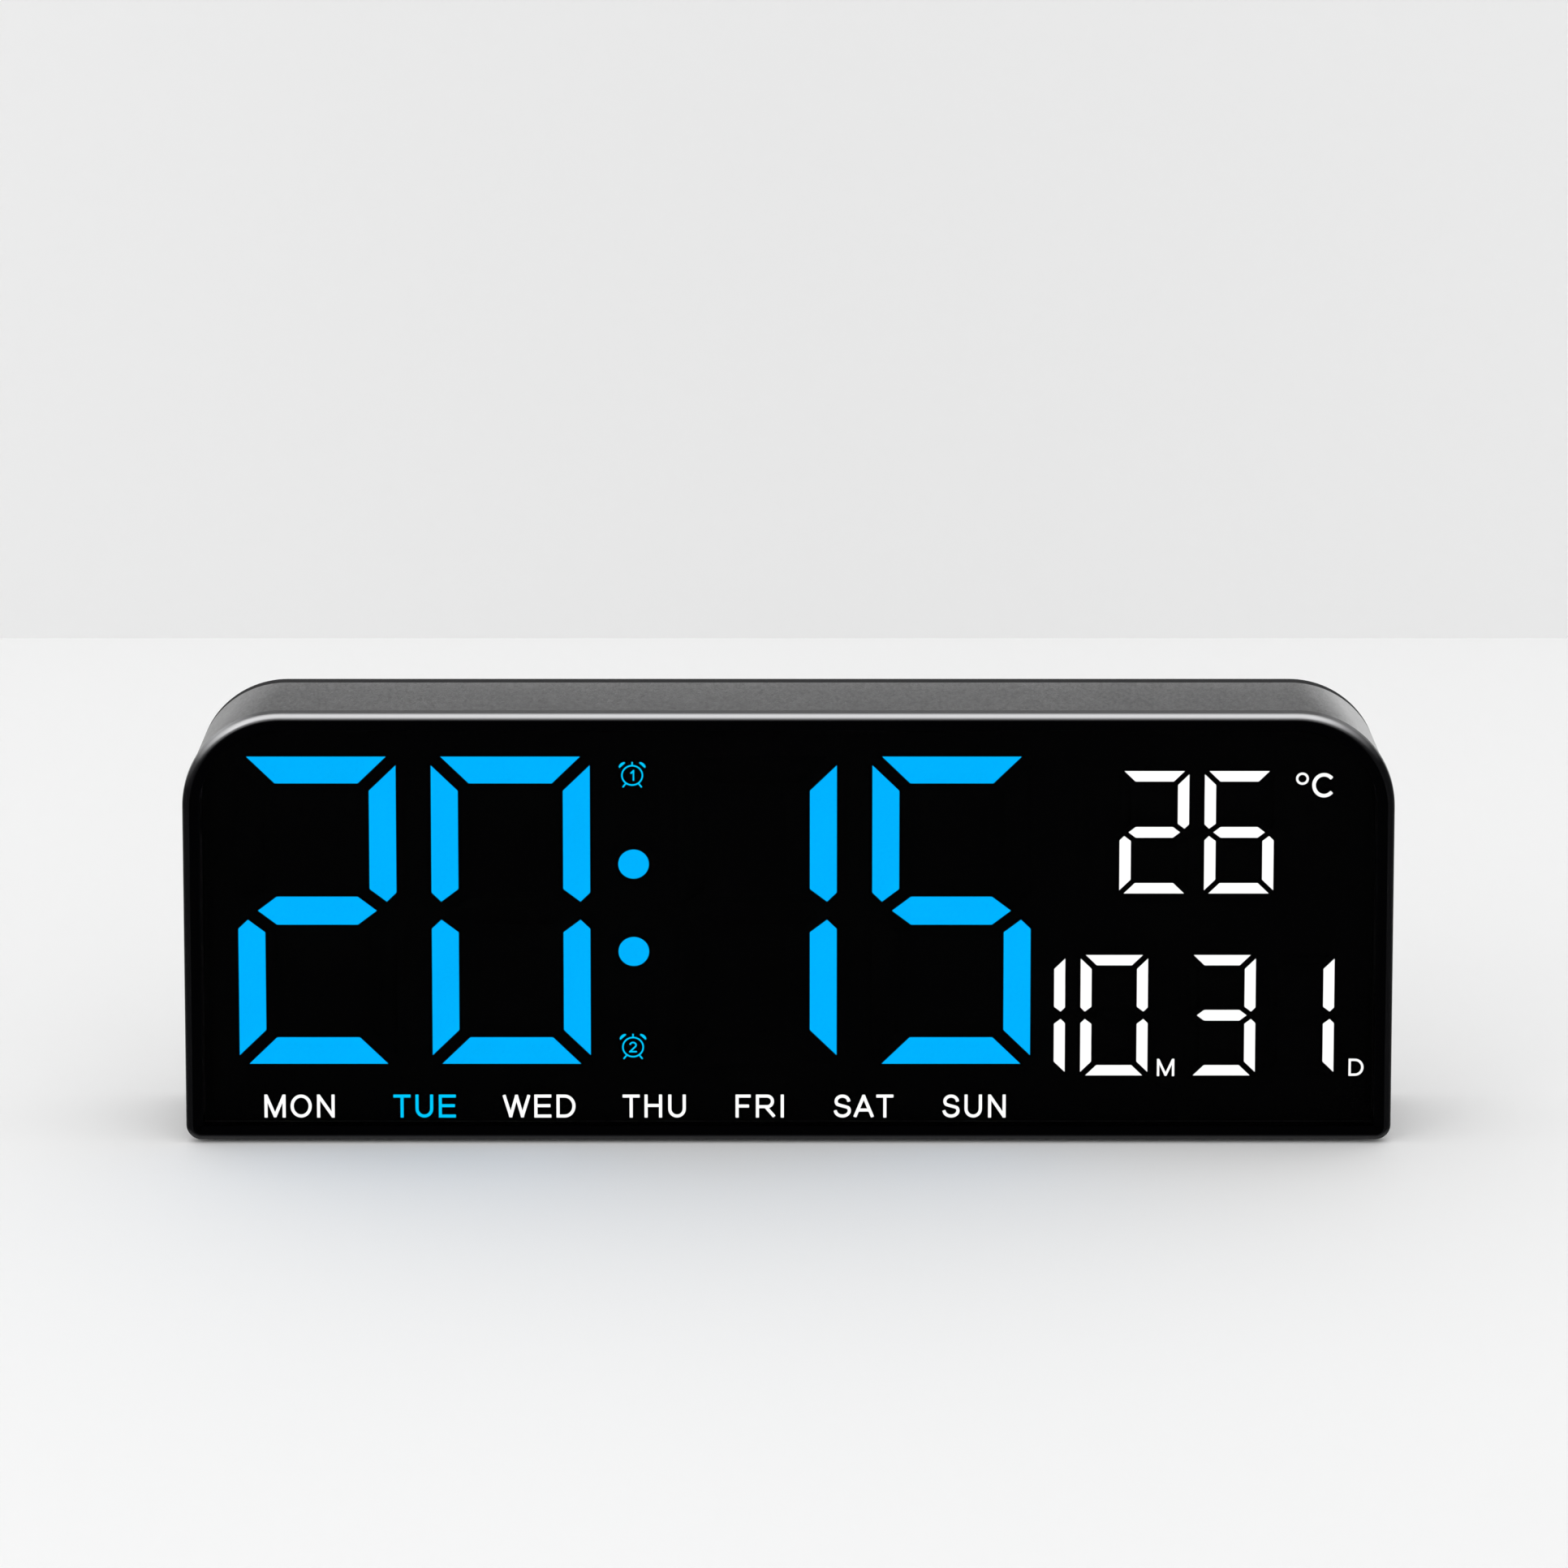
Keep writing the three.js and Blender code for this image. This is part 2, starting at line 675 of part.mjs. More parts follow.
function screwHole([x, z]) {
  return rodAlongY(bossHoleRadius, coverFrontY - bossHoleDepth, coverFrontY + cutPast, x, z, smallSteps);
}

// The drafted shell: walls only, with bosses inside and a notch for the fold-out foot.
function housing() {
  const steps = 2;
  const rounding = Array.from({ length: steps + 1 }, (_, i) => {
    const angle = Math.PI / 2 * i / steps;
    const inwards = housingRearRadius * (1 - Math.cos(angle));
    return {
      y: draftEndY + housingRearRadius * Math.sin(angle),
      points: caseOutline(housingRearInset + inwards, housingStep + inwards),
    };
  });
  const outside = loft([{ y: housingFrontY, points: caseOutline(housingStep) }, ...rounding]);
  const hollowAt = (y, inset) => ({
    y, points: caseOutline(inset + housingWall, housingStep + housingWall),
  });
  const rearInset = draftAt(coverFrontY);
  const inside = loft([
    hollowAt(housingFrontY - cutPast, housingStep), hollowAt(housingFrontY, housingStep),
    hollowAt(coverFrontY, rearInset), hollowAt(backY + cutPast, rearInset),
  ]);
  const bosses = joined(screwPlaces.map(bossWithRibs)).intersect(outside);
  const notchHalf = pocketHalf + coverGap;
  const notch = block(
    -notchHalf, notchHalf, hingeY - hingeRadius - hingeRoom - footPocketWall - coverGap,
    backY + cutPast, housingBottomZ - cutPast, housingBottomZ + housingWall + cutPast);
  return cutBy(
    joined(cutBy(outside, inside), bosses), screwPlaces.map(screwHole), notch, padPlaces.map(padSocket));
}

// Rubber pads under the housing's flat bottom.

function standingRod(radius, z0, z1, x, y) {
  return solidOf(new THREE.CylinderGeometry(radius, radius, z1 - z0, roundSteps)
    .rotateX(Math.PI / 2).translate(x, y, (z0 + z1) / 2));
}

const padSocket = ([x, y]) => standingRod(
  padRadius + padGap, housingBottomZ - cutPast, housingBottomZ + padSink, x, y);
const rubberPad = ([x, y]) => standingRod(padRadius, 0, housingBottomZ + padSink, x, y);

// The foot's hinge line is as far from the back as it is above the ground, so that the foot lies
// flat on the ground once it is swung out by 90 degrees.
const hingeY = backY - hingeInset;
const hingeZ = hingeInset;
const footPocketFloorY = backY - footThickness - footGap;
const footTopZ = hingeZ + footLength;

// The cover's pocket for the foot and its hinge, as the space inside and the walls round it.
function footPocket() {
  const half = footWidth / 2 + footGap;
  const hingeFront = hingeY - hingeRadius - hingeRoom;
  const hingeTop = hingeZ + hingeRadius + hingeRoom;
  const low = lensBottomZ;
  const space = joined(
    block(-half, half, footPocketFloorY, backY + cutPast, low - cutPast, footTopZ + footGap),
    block(-half, half, hingeFront, backY + cutPast, low - cutPast, hingeTop),
    blockAt(0, footTopZ, footNotchWidth, 2 * footNotchHeight, footPocketFloorY, backY + cutPast));
  const wall = footPocketWall;
  const bottom = housingBottomZ;
  const inPlateY = coverFrontY + coverThickness / 2;
  const walls = joined(
    block(-pocketHalf, pocketHalf, footPocketFloorY - wall, inPlateY, bottom, footTopZ + footGap + wall),
    block(-pocketHalf, pocketHalf, hingeFront - wall, inPlateY, bottom, hingeTop + wall),
    blockAt(0, footTopZ, footNotchWidth + 2 * wall, 2 * (footNotchHeight + wall),
      footPocketFloorY - wall, inPlateY));
  return { space, walls };
}

function foldOutFoot() {
  const half = footWidth / 2;
  const barrel = rodAlongX(hingeRadius, -half, half, hingeY, hingeZ);
  const plate = prism(
    roundedBox(0, (hingeZ + footTopZ) / 2, footWidth, footLength, footCornerRadius),
    backY - footThickness, backY);
  const squareEnd = block(-half, half, backY - footThickness, backY, hingeZ, hingeZ + footLength / 2);
  const neck = block(
    -half, half, hingeY, backY - footThickness / 2, hingeZ - hingeRadius / 2, hingeZ + hingeRadius);
  const heel = rodAlongX(hingeRadius, -half, half, backY - hingeRadius, hingeZ);
  const ribs = Array.from({ length: footRibCount }, (_, i) => blockAt(
    0, footTopZ - (2 + i) * footRibPitch, footRibLength, footRibWidth, backY - footRibDepth,
    backY + cutPast));
  const bore = rodAlongX(pinRadius + pinGap, -half - cutPast, half + cutPast, hingeY, hingeZ);
  return cutBy(joined(barrel, plate, squareEnd, neck, heel), ribs, bore);
}

function footPin() {
  const half = footWidth / 2 + footGap + pinEngage;
  return rodAlongX(pinRadius, -half, half, hingeY, hingeZ);
}

// The battery bay, and the planes that its contents share.
const bayLeft = bayCentreX - bayLength / 2;
const bayRight = bayCentreX + bayLength / 2;
const doorFrontY = backY - doorThickness;
const cellY = doorFrontY - doorSeatGap - cellRadius;
const bayFloorY = cellY - cellRadius - doorSeatGap;
const bayFrontY = bayFloorY - bayFloor;
const doorWidth = bayLength + 2 * doorLedge;
const doorHeight = bayHeight + 2 * doorLedge;
const doorBottomZ = bayCentreZ - doorHeight / 2;
const doorTopZ = bayCentreZ + doorHeight / 2;
const doorTabBackY = coverFrontY - doorTabGap;
const doorTabX = [bayCentreX - doorTabSpread, bayCentreX + doorTabSpread];

// Each cell's height above the ground, from the top one down, and the side that its plus end faces
const cells = Array.from({ length: cellCount }, (_, i) => ({
  z: bayCentreZ + ((cellCount - 1) / 2 - i) * (2 * cellRadius + cellSpacing), plus: i % 2 ? -1 : 1,
}));
const lastCell = cells.at(-1);
const wallX = (side) => (side > 0 ? bayRight : bayLeft);

function batteryBay() {
  const walls = blockAt(
    bayCentreX, bayCentreZ, bayLength + 2 * bayWall, bayHeight + 2 * bayWall, bayFrontY,
    coverFrontY + coverThickness / 2);
  const ledgeY = doorFrontY - doorSeatGap;
  const tabSlots = doorTabX.map((x) => block(
    x - doorTabWidth / 2 - doorGap, x + doorTabWidth / 2 + doorGap,
    doorTabBackY - doorTabThickness - doorTabRoom, coverFrontY,
    doorBottomZ - doorTabReach - doorTabGap, doorBottomZ + doorLedge + cutPast));
  const solderSlits = [[1, cells[0]], [-lastCell.plus, lastCell]].map(([side, cell]) => blockAt(
    wallX(side) - side * contactThickness / 2, cell.z, contactThickness + 2 * jointGap,
    solderTabWidth + 2 * jointGap, bayFrontY - cutPast, bayFloorY + cutPast));
  const space = joined(
    blockAt(bayCentreX, bayCentreZ, bayLength, bayHeight, bayFloorY, backY + cutPast),
    blockAt(bayCentreX, bayCentreZ, doorWidth + 2 * doorGap, doorHeight + 2 * doorGap, ledgeY,
      backY + cutPast),
    blockAt(bayCentreX, doorTopZ + thumbScoopHeight / 2, latchWidth, thumbScoopHeight + doorGap,
      backY - thumbScoopDepth, backY + cutPast),
    tabSlots, solderSlits);
  return { space, walls };
}

function batteryDoor() {
  const plate = blockAt(bayCentreX, bayCentreZ, doorWidth, doorHeight, doorFrontY, backY);
  const tabs = doorTabX.map((x) => block(
    x - doorTabWidth / 2, x + doorTabWidth / 2, doorTabBackY - doorTabThickness, doorTabBackY,
    doorBottomZ - doorTabReach, doorBottomZ + doorLedge - doorGap));
  const necks = doorTabX.map((x) => block(
    x - doorTabWidth / 2, x + doorTabWidth / 2, doorTabBackY - doorTabThickness, doorFrontY + fuse,
    doorBottomZ, doorBottomZ + doorLedge - doorGap));
  const slits = [-1, 1].map((side) => blockAt(
    bayCentreX + side * (latchWidth + latchSlit) / 2, doorTopZ - latchLength / 2, latchSlit,
    latchLength + cutPast, doorFrontY - cutPast, backY + cutPast));
  const grooves = Array.from({ length: grooveCount }, (_, i) => blockAt(
    bayCentreX, doorTopZ - (1 + i) * groovePitch, grooveLength, grooveWidth, backY - grooveDepth,
    backY + cutPast));
  return cutBy(joined(plate, tabs, necks), slits, grooves);
}

// A cell lies along X. Its plus end touches a bump and its other end a spring.
function batteryCell({ z, plus }) {
  const middle = bayCentreX + plus * (springLength - contactBump) / 2;
  const canMiddle = middle - plus * cellNubLength / 2;
  const canHalf = (cellLength - cellNubLength) / 2;
  const nubEnds = [canMiddle + plus * (canHalf - fuse), middle + plus * cellLength / 2];
  return joined(
    rodAlongX(cellRadius, canMiddle - canHalf, canMiddle + canHalf, cellY, z),
    rodAlongX(cellNubRadius, Math.min(...nubEnds), Math.max(...nubEnds), cellY, z, smallSteps));
}

// A conical wire spring from the contact plate to a cell's flat end, as one unbroken tube.
function cellSpring({ z }, side) {
  const length = springLength - jointGap - springWire;
  const steps = springTurns * smallSteps;
  const points = Array.from({ length: steps + 1 }, (_, i) => {
    const share = i / steps;
    const angle = 2 * Math.PI * springTurns * share;
    const radius = springRadius - springTaper * share;
    return new THREE.Vector3(
      wallX(side) - side * (contactThickness + length * share), cellY + radius * Math.cos(angle),
      z + radius * Math.sin(angle));
  });
  return wireTube(points, springWire, 5);
}

// A closed tube of a few sides whose rings stand square to the line that it follows.
function wireTube(points, radius, sides) {
  const rings = points.map((point, i) => {
    const ahead = points[Math.min(i + 1, points.length - 1)];
    const behind = points[Math.max(i - 1, 0)];
    const along = ahead.clone().sub(behind).normalize();
    const axis = new THREE.Vector3(1, 0, 0);
    const first = axis.clone().addScaledVector(along, -axis.dot(along)).normalize();
    const second = along.clone().cross(first);
    return Array.from({ length: sides }, (_, k) => {
      const angle = 2 * Math.PI * k / sides;
      return point.clone().addScaledVector(first, radius * Math.cos(angle))
        .addScaledVector(second, radius * Math.sin(angle));
    });
  });
  const index = [];
  for (let r = 0; r + 1 < rings.length; r++) {
    for (let k = 0; k < sides; k++) {
      const a = r * sides + k;
      const b = r * sides + (k + 1) % sides;
      index.push(a, b, a + sides, b, b + sides, a + sides);
    }
  }
  const last = (rings.length - 1) * sides;
  for (let k = 1; k + 1 < sides; k++) {
    index.push(0, k + 1, k);
    index.push(last, last + k, last + k + 1);
  }
  const geometry = new THREE.BufferGeometry();
  geometry.setAttribute('position', new THREE.Float32BufferAttribute(
    rings.flat().flatMap((p) => [p.x, p.y, p.z]), 3));
  geometry.setIndex(index);
  return solidOf(geometry);
}

// One plate behind one or two cell ends, with a bump at a plus end and a spring at a minus end.
function contact(side, ends, solderCell) {
  const wall = wallX(side);
  const x0 = Math.min(wall, wall - side * contactThickness);
  const x1 = x0 + contactThickness;
  const low = Math.min(...ends.map(({ z }) => z)) - contactHeight / 2;
  const high = Math.max(...ends.map(({ z }) => z)) + contactHeight / 2;
  const plate = block(x0, x1, cellY - contactWidth / 2, cellY + contactWidth / 2, low, high);
  const fittings = ends.map((cell) => {
    if (cell.plus !== side) return cellSpring(cell, side);
    const bumpEnd = wall - side * (contactThickness + contactBump - jointGap);
    return rodAlongX(
      contactBumpRadius, Math.min(x0, bumpEnd), Math.max(x1, bumpEnd), cellY, cell.z, smallSteps);
  });
  const half = solderTabWidth / 2;
  const tab = solderCell
    ? block(x0, x1, bayFrontY - solderTabReach, cellY, solderCell.z - half, solderCell.z + half) : [];
  return joined(plate, fittings, tab);
}

// The cover's keyhole: a round entry and a narrower slot above it.
function keyhole(x) {
  const reach = [coverFrontY - cutPast, backY + cutPast];
  return joined(
    rodAlongY(keyholeEntryRadius, ...reach, x, keyholeZ),
    blockAt(x, keyholeZ + keyholeRise / 2, 2 * keyholeSlotRadius, keyholeRise, ...reach),
    rodAlongY(keyholeSlotRadius, ...reach, x, keyholeZ + keyholeRise));
}

const buttonPlaces = buttonNames.map((_, i) => boardLeft + buttonInset + i * buttonPitch);
const switchBackY = controlBackY + switchHeight;
const plungerBackY = switchBackY + plungerHeight;

function buttonPanel() {
  const middle = (buttonPlaces[0] + buttonPlaces.at(-1)) / 2;
  const across = buttonPlaces.at(-1) - buttonPlaces[0] + 2 * (buttonRadius + buttonPanelMargin);
  const high = 2 * (buttonRadius + buttonPanelMargin);
  return joined(
    prism(roundedBox(middle, buttonZ, across, high, high / 2), backY - buttonPanelDepth, backY + cutPast),
    buttonPlaces.map((x) => rodAlongY(
      buttonRadius + buttonGap, coverFrontY - cutPast, backY + cutPast, x, buttonZ)));
}

function grille() {
  const [x, z] = onBoard(sounderPlace);
  return [[x, z], ...circle(x, z, grillePitch, grilleOuterHoles)].map((place) => rodAlongY(
    grilleHoleRadius, coverFrontY - cutPast, backY + cutPast, ...place, smallSteps));
}

function vents() {
  const [x, z] = onBoard(ventPlace);
  return Array.from({ length: ventCount }, (_, i) => {
    const slot = roundedBox(
      x, z + (i - (ventCount - 1) / 2) * ventPitch, ventLength, ventWidth, ventWidth / 2, 2);
    return prism(slot, coverFrontY - cutPast, backY + cutPast);
  });
}

function screwSeat([x, z]) {
  return joined(
    rodAlongY(bossHoleRadius, coverFrontY - cutPast, backY + cutPast, x, z, smallSteps),
    rodAlongY(screwHeadRadius + screwHeadGap, backY - screwSink, backY + cutPast, x, z, 12));
}

const socketOpening = () => prism(
  roundedBox(...onBoard(socketPlace), socketWidth + 2 * socketGap, socketHeight + 2 * socketGap,
    socketHeight / 2 + socketGap), coverFrontY - cutPast, backY + cutPast);

// The back cover: one plate with the bay, the foot's pocket, board posts and every opening.
function backCover() {
  const bay = batteryBay();
  const pocket = footPocket();
  const posts = postPlaces.map(([x, z]) => rodAlongY(postRadius, controlBackY, coverFrontY + fuse, x, z));
  const postHoles = postPlaces.map(([x, z]) => rodAlongY(
    postHoleRadius, controlBackY - cutPast, coverFrontY - fuse, x, z, smallSteps));
  const pinSeat = rodAlongX(
    pinRadius + pinGap, -footWidth / 2 - footGap - pinEngage - pinGap,
    footWidth / 2 + footGap + pinEngage + pinGap, hingeY, hingeZ);
  const plate = prism(coverOutline, coverFrontY, backY);
  const apron = block(
    -pocketHalf, pocketHalf, coverFrontY, backY, housingBottomZ, housingBottomZ + 2 * housingWall);
  return cutBy(
    joined(plate, apron, bay.walls, pocket.walls, posts), bay.space, pocket.space, postHoles, pinSeat,
    keyhole(-keyholeX), keyhole(keyholeX), buttonPanel(), grille(), vents(), socketOpening(),
    screwPlaces.map(screwSeat));
}

// A pan-head screw that points to -Y. Its head's underside lies at y.
function screw(x, z, y, headRadius, headHeight, shankRadius, shankLength) {
  return turned([
    [0, y - shankLength], [shankRadius * 0.4, y - shankLength], [shankRadius, y - shankLength + shankRadius],
    [shankRadius, y], [headRadius, y], [headRadius, y + headHeight * 0.55],
    [headRadius * 0.8, y + headHeight], [0, y + headHeight],
  ], x, z, smallSteps);
}

const coverScrew = ([x, z]) => screw(
  x, z, backY - screwSink, screwHeadRadius, screwHeadHeight, screwShankRadius, screwShankLength);

// A board screw comes from the other side, so it is a cover screw turned round.
function boardScrew([x, z]) {
  const made = screw(
    0, 0, 0, boardScrewHeadRadius, boardScrewHeadHeight, boardScrewShankRadius, boardScrewShankLength);
  return made.rotate([0, 0, 180]).translate([x, controlFrontY, z]);
}

function controlBoard() {
  const board = prism(
    roundedBox((boardLeft + boardRight) / 2, (boardBottom + boardTop) / 2, boardWidth,
      boardTop - boardBottom, boardCornerRadius), controlFrontY, controlBackY);
  const holes = postPlaces.map(([x, z]) => rodAlongY(
    postHoleRadius + jointGap, controlFrontY - cutPast, controlBackY + cutPast, x, z, smallSteps));
  const fitted = [[headerPlace, headerSize], ...passivePlaces.map((place) => [place, passiveSize])];
  const onFront = fitted.map(([place, [w, t, h]]) => blockAt(
    ...onBoard(place), w, h, controlFrontY - t, controlFrontY + fuse));
  return cutBy(joined(board, onFront), holes);
}

function microcontroller() {
  const [w, t, h] = chipSize;
  const [legW, legT, legReach] = chipLegSize;
  const [x, z] = onBoard(chipPlace);
  const body = blockAt(x, z, w, h, controlFrontY - chipStandOff - t, controlFrontY - chipStandOff);
  const legs = Array.from({ length: chipLegs }, (_, i) => blockAt(
    x + (i - (chipLegs - 1) / 2) * chipPitch, z, legW, h + 2 * legReach, controlFrontY - legT,
    controlFrontY));
  return joined(body, legs);
}

function tactSwitch(x) {
  const body = blockAt(x, buttonZ, switchSize, switchSize, controlBackY, switchBackY);
  const well = rodAlongY(
    plungerRadius + plungerGap, switchBackY - plungerInside - buttonTravel - plungerGap,
    switchBackY + cutPast, x, buttonZ);
  return cutBy(body, well);
}

const plunger = (x) => rodAlongY(plungerRadius, switchBackY - plungerInside, plungerBackY, x, buttonZ);

// A cap with a dished face, a retaining flange and the stem that pushes the switch.
function pushButton(x) {
  const flangeBackY = coverFrontY - buttonGap;
  const flangeFrontY = flangeBackY - buttonFlangeHeight;
  const faceY = backY - buttonBelowBack;
  return turned([
    [0, plungerBackY], [buttonStemRadius, plungerBackY], [buttonStemRadius, flangeFrontY],
    [buttonFlangeRadius, flangeFrontY], [buttonFlangeRadius, flangeBackY], [buttonRadius, flangeBackY],
    [buttonRadius, faceY], [buttonRadius - buttonRim, faceY], [0, faceY - buttonDish],
  ], x, buttonZ);
}

function usbSocket() {
  const [x, z] = onBoard(socketPlace);
  const mouthY = backY - socketBelowBack;
  const floorY = mouthY - socketDepth;
  const insideW = socketWidth - 2 * socketShell;
  const insideH = socketHeight - 2 * socketShell;
  const shell = prism(
    roundedBox(x, z, socketWidth, socketHeight, socketHeight / 2), controlBackY, mouthY);
  const mouth = prism(roundedBox(x, z, insideW, insideH, insideH / 2), floorY, mouthY + cutPast);
  const tongue = blockAt(
    x, z, socketTongue.w, socketTongue.h, floorY - fuse, floorY + socketTongue.length);
  return joined(cutBy(shell, mouth), tongue);
}

function sounder() {
  const topY = coverFrontY - sounderGap;
  return turned([
    [0, controlBackY], [sounderRadius, controlBackY], [sounderRadius, topY - sounderBevel],
    [sounderRadius - sounderBevel, topY], [sounderPort, topY], [sounderPort, topY - sounderPortDepth],
    [0, topY - sounderPortDepth],
  ], ...onBoard(sounderPlace));
}

function temperatureSensor() {
  const headY = controlBackY + sensorHeight;
  return turned([
    [0, controlBackY], [sensorLegRadius, controlBackY], [sensorLegRadius, headY - 2 * sensorRadius],
    [sensorRadius, headY - 1.4 * sensorRadius], [sensorRadius, headY - 0.6 * sensorRadius],
    [sensorLegRadius, headY], [0, headY],
  ], ...onBoard(ventPlace), smallSteps);
}

// A round tray on the board's front, open towards the display, with two clips over the coin cell.
const coinBackY = controlFrontY - coinHolderFloor - coinGap;
const coinFrontY = coinBackY - coinThickness;
const coinSteps = 18;

function coinCellHolder() {
  const [x, z] = onBoard(coinPlace);
  const inner = coinRadius + coinGap;
  const tray = rodAlongY(inner + coinHolderWall, coinFrontY + coinHolderDrop, controlFrontY, x, z, coinSteps);
  const hollow = rodAlongY(inner, coinFrontY - cutPast, coinBackY + coinGap, x, z, coinSteps);
  const tipY = coinFrontY - coinGap - coinClipThickness;
  const clips = [-1, 1].map((side) => {
    const clipX = x + side * (inner + coinHolderWall / 2);
    return joined(
      blockAt(clipX, z, coinHolderWall, coinClipWidth, tipY, controlFrontY),
      blockAt(clipX - side * coinClipReach / 2, z, coinHolderWall + coinClipReach, coinClipWidth, tipY,
        coinFrontY - coinGap));
  });
  return joined(cutBy(tray, hollow), clips);
}

const coinCell = () => turned([
  [0, coinFrontY], [coinRadius - coinRim, coinFrontY], [coinRadius - coinRim, coinFrontY + coinStep],
  [coinRadius, coinFrontY + coinStep], [coinRadius, coinBackY], [0, coinBackY],
], ...onBoard(coinPlace), coinSteps);

// The flat cable drops from one board's header, turns back and rises into the other's.
function ribbonCable() {
  const [headerX, headerZ] = onBoard(headerPlace);
  const startY = displayBackY + headerSize[1] / 2;
  const endY = controlFrontY - headerSize[1] / 2;
  const topZ = headerZ - headerSize[2] / 2 - jointGap;
  const bend = (endY - startY) / 2;
  const lowZ = topZ - ribbonDrop;
  const path = (offset) => {
    const points = [[startY - offset, topZ], [startY - offset, lowZ]];
    const steps = 10;
    for (let i = 1; i < steps; i++) {
      const angle = Math.PI * (1 + i / steps);
      points.push([
        (startY + endY) / 2 + (bend + offset) * Math.cos(angle), lowZ + (bend + offset) * Math.sin(angle),
      ]);
    }
    points.push([endY + offset, lowZ], [endY + offset, topZ]);
    return points;
  };
  const half = ribbonThickness / 2;
  const outline = [...path(half), ...path(-half).reverse()].map(([y, z]) => new THREE.Vector2(y, z));
  const strip = new THREE.ExtrudeGeometry(new THREE.Shape(outline), {
    depth: ribbonWidth, bevelEnabled: false,
  });
  const turn = new THREE.Matrix4().makeBasis(
    new THREE.Vector3(0, 1, 0), new THREE.Vector3(0, 0, 1), new THREE.Vector3(1, 0, 0));
  return solidOf(strip.applyMatrix4(turn).translate(headerX - ribbonWidth / 2, 0, 0));
}

// A supply lead from a contact's tab to the control board, along points chosen to clear what is near.
function lead(points, steps) {
  const sides = 5;
  const curve = new THREE.CatmullRomCurve3(points.map((p) => new THREE.Vector3(...p)), false, 'centripetal');
  const section = new THREE.Shape(circle(0, 0, leadRadius, sides).map(([x, y]) => new THREE.Vector2(x, y)));
  return solidOf(new THREE.ExtrudeGeometry(section, { steps, extrudePath: curve, bevelEnabled: false }));
}

const leadY = (displayBackY + bayFrontY) / 2;
const leadRed = () => lead([
  [bayRight + 0.9, leadY, cells[0].z - 0.5], [-30, leadY, 46], [-12, 0.4, 49], [8, 0.8, 50],
  [24, 0.6, 47], [33, 0.8, 41], [37.5, 1.4, 38.6], [38.2, controlFrontY - jointGap, 38.2],
], 18);
const leadBlack = () => lead([
  [bayLeft + 1.3, leadY, lastCell.z - 0.5], [-78, leadY, 21], [-58, leadY, 24], [-38, leadY, 27],
  [-20, 0.2, 41], [4, 0.6, 46.6], [22, 0.5, 43], [32, 0.8, 38], [37.2, 1.4, 35.9],
  [38.2, controlFrontY - jointGap, 35.6],
], 24);

// Colours and finishes
const finish = (color, roughness, metalness = 0, extra = {}) => new THREE.MeshStandardMaterial({
  color, roughness, metalness, ...extra,
});
const finishes = {
  smokedLens: finish(0x060708, 0.08, 0, { transparent: true, opacity: 0.45 }),
  tape: finish(0x15161a, 0.8),
  blackFilm: finish(0x050505, 0.6),
  blackPlastic: finish(0x202225, 0.55),
  smokeDiffuser: finish(0x1b2c34, 0.4),
  board: finish(0x12402a, 0.5),
  chip: finish(0x0c0c0d, 0.5),
  steel: finish(0xb9bcc0, 0.3, 1),
  springSteel: finish(0xcfd1d2, 0.35, 1),
  cellWrap: finish(0x2a2d33, 0.4),
  rubber: finish(0x141414, 0.9),
  buttonPlastic: finish(0x2c2e32, 0.5),
  ribbon: finish(0xc9ccd0, 0.5),
  redLead: finish(0xa81c18, 0.5),
  blackLead: finish(0x101010, 0.5),
  holder: finish(0x1a1a1c, 0.6),
  sensor: finish(0x151515, 0.35),
};

const clock = new THREE.Group();
function add(name, solid, material) {
  const mesh = new THREE.Mesh(geometryOf(solid), material.clone());
  mesh.name = name;
  clock.add(mesh);
}

add('front_lens', frontLens(), finishes.smokedLens);
add('lens_tape', lensTape(), finishes.tape);
add('legend_film', legendFilm(), finishes.blackFilm);
add('light_shield', lightShield(), finishes.blackPlastic);
for (const name of Object.keys(diffusers)) add(name, diffuser(name), finishes.smokeDiffuser);
add('display_board', displayBoard(), finishes.board);
add('housing', housing(), finishes.blackPlastic);
add('back_cover', backCover(), finishes.blackPlastic);
add('battery_door', batteryDoor(), finishes.blackPlastic);
cells.forEach((cell, i) => add(`battery_cell_${i + 1}`, batteryCell(cell), finishes.cellWrap));
add('contact_positive', contact(1, [cells[0]], cells[0]), finishes.springSteel);
cells.slice(1).forEach((cell, i) => add(
  `contact_link_${i + 1}`, contact(cell.plus, [cells[i], cell]), finishes.springSteel));
add('contact_negative', contact(-lastCell.plus, [lastCell], lastCell), finishes.springSteel);
add('control_board', controlBoard(), finishes.board);
add('microcontroller', microcontroller(), finishes.chip);
add('usb_socket', usbSocket(), finishes.steel);
add('sounder', sounder(), finishes.chip);
add('coin_cell_holder', coinCellHolder(), finishes.holder);
add('coin_cell', coinCell(), finishes.steel);
buttonNames.forEach((name, i) => {
  add(`${name}_switch`, tactSwitch(buttonPlaces[i]), finishes.chip);
  add(`${name}_plunger`, plunger(buttonPlaces[i]), finishes.holder);
  add(`${name}_button`, pushButton(buttonPlaces[i]), finishes.buttonPlastic);
});
add('temperature_sensor', temperatureSensor(), finishes.sensor);
add('ribbon_cable', ribbonCable(), finishes.ribbon);
add('lead_red', leadRed(), finishes.redLead);
add('lead_black', leadBlack(), finishes.blackLead);
add('fold_out_foot', foldOutFoot(), finishes.blackPlastic);
add('foot_pin', footPin(), finishes.steel);
screwPlaces.forEach((place, i) => add(`cover_screw_${i + 1}`, coverScrew(place), finishes.steel));
postPlaces.forEach((place, i) => add(`board_screw_${i + 1}`, boardScrew(place), finishes.steel));
padPlaces.forEach((place, i) => add(`rubber_foot_${i + 1}`, rubberPad(place), finishes.rubber));

export default clock;
